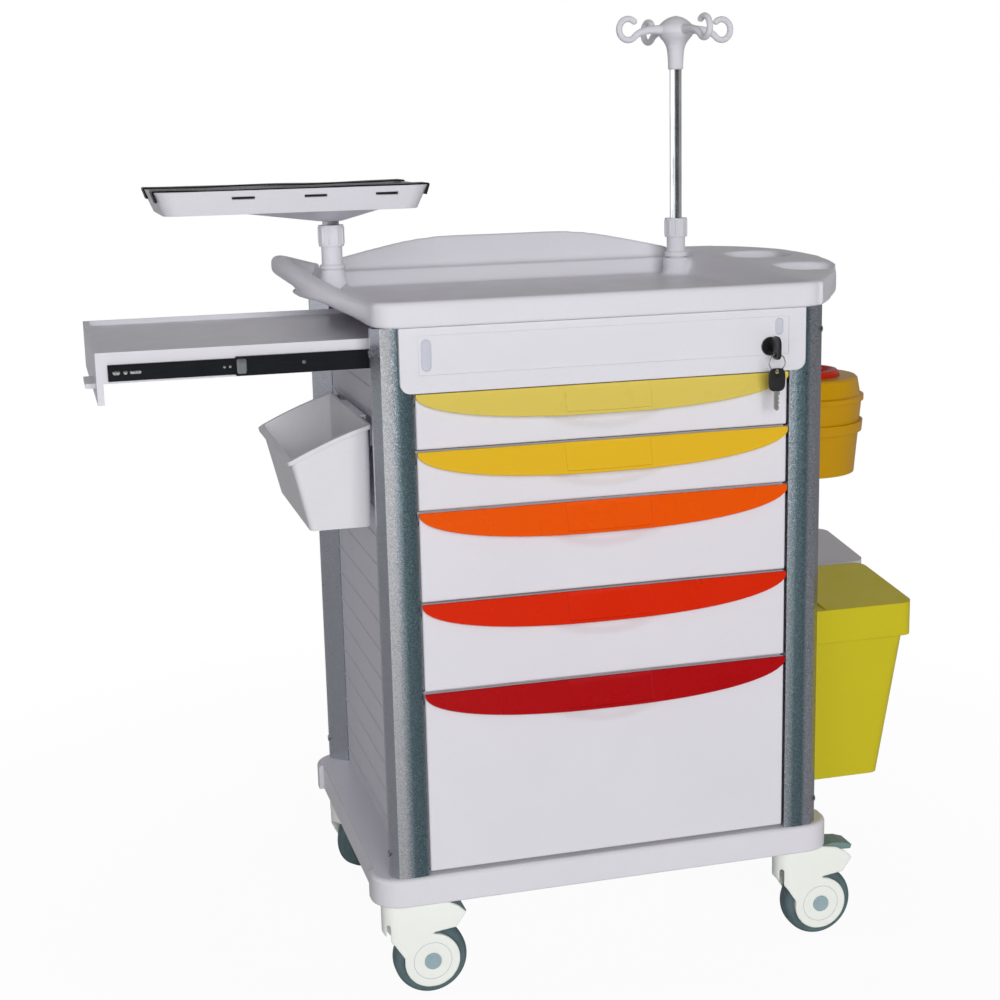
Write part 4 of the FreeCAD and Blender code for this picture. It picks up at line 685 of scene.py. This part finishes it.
# wheels: tyre with a crowned tread and two grooves, core with a dished face, caps on the axle's ends; the
# dish is given by radius and depth under the side, the shoulder and the cap's lip by the way from their rims
wheelLook = {"radius": 50.0, "core": 37.0, "half": 15.0, "axle": 6.0, "forkHalf": 21.3, "crown": 5.0,
             "shoulder": [(0.0, 1.5), (1.0, 0.4), (5.0, 0.0)],
             "grooveAt": 0.38, "grooveHalf": 0.045, "grooveDepth": 0.7, "hubDepth": 2.0, "coreDepth": 1.0,
             "dish": [(13.0, 2.0), (15.0, 5.0), (30.0, 5.0), (32.0, 1.5)],
             "capRadius": 11.5, "capDepth": 2.5, "capRound": 1.2, "capGap": 0.05,
             "capLip": [(3.0, 0.1), (3.6, 0.5)], "capDish": (3.0, 0.4),
             "ringRadius": 26.0, "ringWire": 0.45, "ringIn": 0.35}


# tread: radius - crown * |s|^4 across the width, less the grooves
def tyreProfile(look):
    half = look["half"]
    across = np.linspace(-1, 1, 61)
    groove = np.abs(np.abs(across) - look["grooveAt"]) < look["grooveHalf"]
    tread = look["radius"] - look["crown"] * np.abs(across) ** 4 - look["grooveDepth"] * groove
    side = np.array([(look["core"] + out, -half + depth) for out, depth in look["shoulder"]])
    return np.concatenate([side, np.stack([tread, across * half], axis=1), side[::-1] * (1, -1)])


# core: the axle's end, the dished face from the hub to the tyre, and the same mirrored
def coreProfile(look):
    end, axle = look["forkHalf"], look["axle"]
    face = [(axle, look["hubDepth"]), *look["dish"], (look["core"], look["coreDepth"])]
    side = np.array([(axle, end)] + [(r, look["half"] - depth) for r, depth in face])
    return np.concatenate([[(0.0, end)], side, side[::-1] * (1, -1), [(0.0, -end)]])


# cap: a disc whose rim is a quarter round, for the axle's end at -1 or 1
def capProfile(look, end):
    r, bend, start = look["capRadius"], look["capRound"], look["forkHalf"] + look["capGap"]
    front = start + look["capDepth"]
    t = np.linspace(0, np.pi / 2, 7)
    rim = np.stack([r - bend + bend * np.cos(t), front - bend + bend * np.sin(t)], axis=1)
    lip = [(r - inset, front - depth) for inset, depth in look["capLip"]]
    dishRadius, dishDepth = look["capDish"]
    dish = [(dishRadius, front - dishDepth), (0.0, front - dishDepth)]
    return np.concatenate([[(0.0, start), (r, start)], rim, lip, dish]) * (1, end)


ringTrace = roundedOutline(wheelLook["ringRadius"], wheelLook["ringRadius"], 2.0, 120)
for corner in castorCorners:
    spin = joints[f"wheel_spin_{corner}"]
    hub, axis = np.array(spin["pos_m"]) * 1000.0, unit(spin["axis"])
    level = np.cross(axis, (0, 0, 1))
    body = f"wheel_{corner}"
    tyre = turned(tyreProfile(wheelLook), hub, axis, 96, True)
    makePiece(f"tyre_{corner}", [tyre], "rubber", body, [f"castor_wheel_{corner}"])
    core = turned(coreProfile(wheelLook), hub, axis)
    makePiece(f"wheel_core_{corner}", [core], "hood", body)
    caps = [turned(capProfile(wheelLook, end), hub, axis) for end in (-1, 1)]
    makePiece(f"axle_caps_{corner}", caps, "cap", body)
    ringOut = (wheelLook["forkHalf"] - wheelLook["ringIn"]) * axis
    rings = [tube(ringTrace, wheelLook["ringWire"], hub + end * ringOut, level, (0, 0, 1), 8, True)
             for end in (-1, 1)]
    makePiece(f"hood_ring_{corner}", rings, "mark", f"castor_{corner}")
print("stage: wheels")

# straps: webbing laid over the platform's end rims, turned down outside them, a little slack and wavy between
strapLook = {"width": 38.0, "inset": 76.0, "thick": 1.7, "sag": 1.2, "wave": 0.5, "lean": 6.0, "ease": 2.5,
             "endGap": 0.2, "topGap": 0.1}


# the band's line: three straight runs over the rims, their corners eased by the mean of points along the run;
# it hangs by sag * sin(pi s)^0.7 and ripples by two sines
def strapSurface(low, high, side, look):
    half, lean = look["thick"] / 2, look["lean"]
    top = high[2] - half - look["topGap"]
    knees = np.array([(low[0] + lean, low[2]), (low[0] + half + look["endGap"], top),
                      (high[0] - half - look["endGap"], top), (high[0] - lean, low[2])])
    run = runAlong(knees)
    bend = np.linspace(-4, 4, 13)
    at = np.unique(np.concatenate([np.linspace(0, run[-1], 140), run[1] + bend, run[2] + bend]))
    near = [np.clip(at + step, 0, run[-1]) for step in np.linspace(-look["ease"], look["ease"], 11)]
    line = np.stack([np.mean([np.interp(n, run, knees[:, k]) for n in near], axis=0) for k in (0, 1)], axis=1)
    span = np.clip((at - run[1]) / (run[2] - run[1]), 0, 1)
    across = np.linspace(-1, 1, 15)
    a, w = np.meshgrid(span, across, indexing="ij")
    slack = np.sin(np.pi * a) ** 0.7
    ripple = np.sin(9.0 * a + side) + 0.6 * np.sin(17.0 * a + 2 * w)
    dip = -look["sag"] * slack - look["wave"] * slack * ripple
    y = side * look["inset"] + across[None, :] * look["width"] / 2 + 0 * a
    return np.stack([line[:, :1] + 0 * a, y, line[:, 1:] + dip], axis=-1), runAlong(line)


# the sheet's mesh with its cloth UV in metres, across and along, thickened to both sides
def makeStrap(name, side, look):
    grid, length = strapSurface(*boxMm("defib_straps"), side, look)
    mesh = bpy.data.meshes.new(name)
    mesh.from_pydata((grid.reshape(-1, 3) * 0.001).tolist(), [], gridQuads(*grid.shape[:2]).tolist())
    across = np.linspace(0, look["width"], grid.shape[1])
    place = np.stack(np.meshgrid(length, across, indexing="ij"), axis=-1).reshape(-1, 2) * 0.001
    loops = np.empty(len(mesh.loops), dtype=np.int32)
    mesh.loops.foreach_get("vertex_index", loops)
    layer = mesh.uv_layers.new(name="cloth")
    layer.data.foreach_set("uv", place[loops][:, ::-1].ravel())
    mesh.shade_smooth()
    mesh.materials.append(finishes["webbing"])
    strap = addObject(name, mesh)
    thick = strap.modifiers.new("thick", "SOLIDIFY")
    thick.thickness, thick.offset = look["thick"] * 0.001, 0.0
    attach(strap, "platform", ["defib_straps"])


makeStrap("strap_front", -1, strapLook)
makeStrap("strap_rear", 1, strapLook)
print("stage: straps")

# keys: bows with a ring hole, turned plug given by radius and depth, split ring, blade with cut teeth
keyLook = {"bow": (24.0, 30.0), "bowHole": (-2.0, -9.0), "spare": (23.0, 30.0), "spareHole": (0.0, 10.5),
           "thick": 5.0, "hole": 3.0, "ring": 11.0, "wire": 0.9, "neck": 6.0, "neckOut": 7.0,
           "neckRun": (-3.0, 9.5), "neckThick": 2.4, "blade": 25.0, "bladeRoot": 2.0, "bladeWidth": 8.0,
           "bladeThick": 2.2, "toothFrom": 0.25, "toothTo": 0.92, "toothDepth": 1.6, "toothBase": 0.4,
           "toothRate": 15.0, "tipFrom": 0.9, "tipLength": 0.1, "tipShare": 0.38,
           "plug": [(0.0, 0.0), (1.4, 0.0), (1.4, 1.2), (5.2, 1.2), (5.9, 0.6), (5.9, 0.2), (5.9, 23.0),
                    (0.0, 23.0)]}


# bow: each ray from the hole's rim to the outline, with the section rounded at both rims
def bowSurface(centre, size, hole, across, up, look):
    outline = roundedOutline(size[0] / 2, size[1] / 2, 3.4)
    angle = np.arange(len(outline)) * 2 * np.pi / len(outline)
    inner = np.asarray(hole) + look["hole"] * np.stack([np.cos(angle), np.sin(angle)], axis=1)
    lower = [(0.0, -0.6), (0.08, -0.95), (0.2, -1.0), (0.8, -0.86), (0.94, -0.7), (1.0, -0.3)]
    section = np.array(lower + [(share, -height) for share, height in lower[::-1]]).reshape(-1, 1, 1, 2)
    flat = inner + section[..., 0] * (outline - inner)
    points = inSpace(flat, section[..., 1] * look["thick"] / 2, centre, across, up)
    return points, gridQuads(len(section), len(outline), True, True)


# blade: a flat bar from top to foot whose one edge is bitten by |sin| teeth and whose tip is pointed
def bladeSurface(top, foot, centre, thick, across, up, look):
    half = look["bladeWidth"] / 2
    t = np.linspace(0, 1, 60)
    cut = t > look["toothFrom"]
    bite = look["toothDepth"] * np.abs(np.sin(t * look["toothRate"])) * cut + look["toothBase"] * cut
    point = np.clip((t - look["tipFrom"]) / look["tipLength"], 0, 1) * look["bladeWidth"] * look["tipShare"]
    left, right = -half + point, half - np.maximum(bite * (t < look["toothTo"]), point)
    level = top + (foot - top) * t
    ring = [(left, -1), (left, 1), (left * 0.3, 1), (left * 0.1, 0.6), (right, 0.8), (right, -0.8),
            (left * 0.1, -0.6), (left * 0.3, -1)]
    flat = np.stack([np.stack([edge, level], axis=-1) for edge, height in ring], axis=1)
    heights = np.array([height for edge, height in ring])[:, None] * thick / 2
    grid = closeEnds(inSpace(flat, heights, centre, across, up))
    return grid, gridQuads(*grid.shape[:2], False, True)


lockLow, lockHigh = boxMm("lock_barrel")
lockX, lockZ, mouth = (lockLow[0] + lockHigh[0]) / 2, (lockLow[2] + lockHigh[2]) / 2, lockLow[1]
sideways, backwards, upwards = (1, 0, 0), (0, 1, 0), (0, 0, 1)
bowY = mouth - keyLook["neck"] - keyLook["bow"][0] / 2
plug = turned(keyLook["plug"], (lockX, mouth, lockZ), backwards)
bow = bowSurface((lockX, bowY, lockZ), keyLook["bow"], keyLook["bowHole"], backwards, upwards, keyLook)
neck = bladeSurface(*keyLook["neckRun"], (lockX, mouth - keyLook["neckOut"], lockZ), keyLook["neckThick"],
                    upwards, backwards, keyLook)
makePiece("lock_key_bow", [plug, bow, neck], "keyBlack", "lock_key", ["lock_key"])

# the ring hangs in the bow's hole, and the spare key hangs in the ring
ringY, holeZ = bowY + keyLook["bowHole"][0], lockZ + keyLook["bowHole"][1]
ringZ = holeZ + keyLook["hole"] - keyLook["ring"] - 2 * keyLook["wire"]
ringPath = roundedOutline(keyLook["ring"], keyLook["ring"], 2.0)
ringTube = tube(ringPath, keyLook["wire"], (lockX, ringY, ringZ), sideways, upwards, 14, True)
spareTop = ringZ - keyLook["ring"] + keyLook["hole"] + keyLook["wire"]
spareMiddle = (lockX, ringY, spareTop - keyLook["spare"][1] / 2)
spareBow = bowSurface(spareMiddle, keyLook["spare"], keyLook["spareHole"], sideways, upwards, keyLook)
makePiece("spare_key_bow", [spareBow], "keyBlack", "spare_key", ["spare_key"])
spareFoot = (lockX, ringY, spareTop - keyLook["spare"][1])
blade = bladeSurface(keyLook["bladeRoot"], -keyLook["blade"], spareFoot, keyLook["bladeThick"],
                     sideways, upwards, keyLook)
makePiece("spare_key_steel", [ringTube, blade], "steel", "spare_key")
print("stage: keys")

# small marks: finger slots at the label's ends, the slide's slots and rivets, dark plates in the platform's
# slots as painted shade
markLook = {"label": [(-236.0, 868.5, (38.0, 11.0)), (233.0, 880.0, (20.0, 9.0))], "labelIn": 1.0,
            "labelThick": 0.5, "labelRim": 0.86, "labelGap": 1.6, "labelWire": 0.4,
            "slide": [(10.0, (9.0, 5.0)), (21.0, (5.0, 5.0)), (33.0, (14.0, 4.4)), (140.0, (3.6, 3.6)),
                      (147.0, (3.6, 3.6))],
            "slideThick": 0.3, "block": (6.0, 9.5), "blockX": 7.0, "rivet": 5.0, "rivetX": 84.0,
            "rivetRise": 1.0, "rivetThick": 0.8, "slotShade": (31.0, 6.0), "slotShadeX": -339.0, "slotShadeStep": 92.0,
            "slotShadeY": 100.2, "slotShadeZ": 1060.6, "slotShadeLean": (0.928, 0.371), "slotShadeThick": 1.0}
labelY = boxMm("front_fascia")[0][1] + markLook["labelIn"]
labelParts = []
for x, z, (length, width) in markLook["label"]:
    at, rim = (x, labelY, z), pill(length + markLook["labelGap"], width + markLook["labelGap"], True, 96)
    labelParts.append(plate(pill(length, width, True), markLook["labelThick"], at, sideways, upwards,
                            markLook["labelRim"]))
    labelParts.append(tube(rim, markLook["labelWire"], at, sideways, upwards, 8, True))
makePiece("label_slots", labelParts, "mark", "cabinet")

innerLow, innerHigh = boxMm("shelf_inner_rails")
midLow, midHigh = boxMm("shelf_mid_rails")
innerZ, midZ = (innerLow[2] + innerHigh[2]) / 2, (midLow[2] + midHigh[2]) / 2
block, rivet = roundedOutline(*markLook["block"], 6.0), pill(markLook["rivet"], markLook["rivet"])
innerMarks, midMarks = [], []
for faceInner, faceMid, way in ((innerLow[1], midLow[1], 1.0), (innerHigh[1], midHigh[1], -1.0)):
    outwards = (way, 0, 0)
    for x, size in markLook["slide"]:
        at = (innerLow[0] + x, faceInner, innerZ)
        innerMarks.append(plate(pill(*size), markLook["slideThick"], at, outwards, upwards))
    at = (midLow[0] + markLook["blockX"], faceMid, midZ)
    midMarks.append(plate(block, markLook["rivetThick"], at, outwards, upwards))
    at = (midLow[0] + markLook["rivetX"], faceMid, midZ + markLook["rivetRise"])
    midMarks.append(plate(rivet, markLook["rivetThick"], at, outwards, upwards))
makePiece("slide_slots", innerMarks, "steel", "shelf")
makePiece("slide_rivets", midMarks, "zinc", "shelf_mid")

leanOut, leanUp = markLook["slotShadeLean"]
# painted shade: dark plates set in the platform's slots
platformParts = []
for way in (-1.0, 1.0):
    for i in (-1, 0, 1):
        at = (markLook["slotShadeX"] + i * markLook["slotShadeStep"], way * markLook["slotShadeY"], markLook["slotShadeZ"])
        platformParts.append(plate(pill(*markLook["slotShade"]), markLook["slotShadeThick"], at, sideways,
                                   (0, way * leanOut, leanUp)))
makePiece("platform_slots", platformParts, "keyBlack", "platform")
print("stage: small marks")

# floor, world and lamps; a lamp is given by its place, its two sizes and its power
floorLook = {"colour": (236, 236, 238), "tones": [(0.3, 0.99), (0.7, 1.0)], "cloudSize": 0.8, "half": 9,
             "nearWhite": 0.95, "whiteFrom": 0.5, "whiteTo": 1.6}
worldLook = {"diffuse": 0.19, "glossFront": 0.08, "glossBack": 0.42, "frontRange": (-0.75, 0.35),
             "glossLeft": 1.6, "glossRight": 0.35, "sideFrom": 0.4, "sideTo": 0.85}
lampTarget = (0.0, 0.0, 0.6)
lampLook = {"key": ((-0.4, -8.2, 2.5), (4.4, 3.6), 400.0), "fill": ((-2.6, -3.4, 1.2), (1.6, 2.0), 14.0),
            "back": ((1.6, 7.6, 1.7), (4.0, 3.0), 170.0)}


# floor: pale and diffuse, shown nearly white to the camera so that the shadow stays faint, all white far out
def makeFloor(look):
    material, tree, shader = startMaterial("studio_floor", {"Roughness": 0.9, "Specular IOR Level": 0.1})
    place = objectPlace(tree)
    cloudy = cloud(tree, place, look["cloudSize"])
    feed(tree, shader, {"Base Color": ramp(tree, cloudy, tones(fromScreen(*look["colour"]), look["tones"]))})
    glow = addNode(tree, "ShaderNodeEmission", {"Color": (1, 1, 1, 1), "Strength": 1.0})
    rays = addNode(tree, "ShaderNodeLightPath", {}).outputs
    far = addNode(tree, "ShaderNodeVectorMath", {0: place}, operation="LENGTH").outputs["Value"]
    white = spread(tree, far, look["nearWhite"], 1.0, look["whiteFrom"], look["whiteTo"])
    seen = compute(tree, "MULTIPLY", rays["Is Camera Ray"], white)
    lights = {0: seen, 1: shader.outputs["BSDF"], 2: glow.outputs["Emission"]}
    mix = addNode(tree, "ShaderNodeMixShader", lights)
    output = next(n for n in tree.nodes if n.type == "OUTPUT_MATERIAL")
    feed(tree, output, {"Surface": mix.outputs["Shader"]})
    half = look["half"]
    mesh = bpy.data.meshes.new("floor")
    corners = [(-half, -half, 0), (half, -half, 0), (half, half, 0), (-half, half, 0)]
    mesh.from_pydata(corners, [], [(0, 1, 2, 3)])
    mesh.materials.append(material)
    floor = addObject("floor", mesh)


# world: white where the camera looks; gloss sees it bright at the sides, duller in front and behind
def makeWorld(look):
    world = bpy.data.worlds.new("studio")
    world.use_nodes = True
    bpy.context.scene.world = world
    tree = world.node_tree
    background = next(n for n in tree.nodes if n.type == "BACKGROUND")
    rays = addNode(tree, "ShaderNodeLightPath", {}).outputs
    axes = axesOf(tree, addNode(tree, "ShaderNodeTexCoord", {}).outputs["Generated"])
    front = spread(tree, axes["Y"], look["glossFront"], look["glossBack"], *look["frontRange"])
    left = spread(tree, axes["X"], look["glossLeft"], 0.0, -look["sideTo"], -look["sideFrom"])
    right = spread(tree, axes["X"], 0.0, look["glossRight"], look["sideFrom"], look["sideTo"])
    around = compute(tree, "MAXIMUM", front, compute(tree, "MAXIMUM", left, right))
    glossy = compute(tree, "MULTIPLY", rays["Is Glossy Ray"], around)
    dim = compute(tree, "MULTIPLY", rays["Is Diffuse Ray"], look["diffuse"])
    seen = compute(tree, "MAXIMUM", rays["Is Camera Ray"], rays["Is Transmission Ray"])
    total = compute(tree, "MAXIMUM", compute(tree, "MAXIMUM", glossy, dim), seen)
    feed(tree, background, {"Strength": total})
    background.inputs["Color"].default_value = (1, 1, 1, 1)


# an area lamp turned to its target and hidden from gloss
def softLamp(name, place, target, size, power):
    lamp = bpy.data.lights.new(name, "AREA")
    lamp.shape, lamp.size, lamp.size_y, lamp.energy = "RECTANGLE", size[0], size[1], power
    made = addObject(name, lamp)
    made.location = place
    made.rotation_euler = (Vector(target) - Vector(place)).to_track_quat("-Z", "Y").to_euler()
    made.visible_glossy = False


makeFloor(floorLook)
makeWorld(worldLook)
for name, (place, size, power) in lampLook.items():
    softLamp(name, place, lampTarget, size, power)
bpy.context.scene.view_settings.view_transform = "Standard"
print("stage: floor, world and lamps")
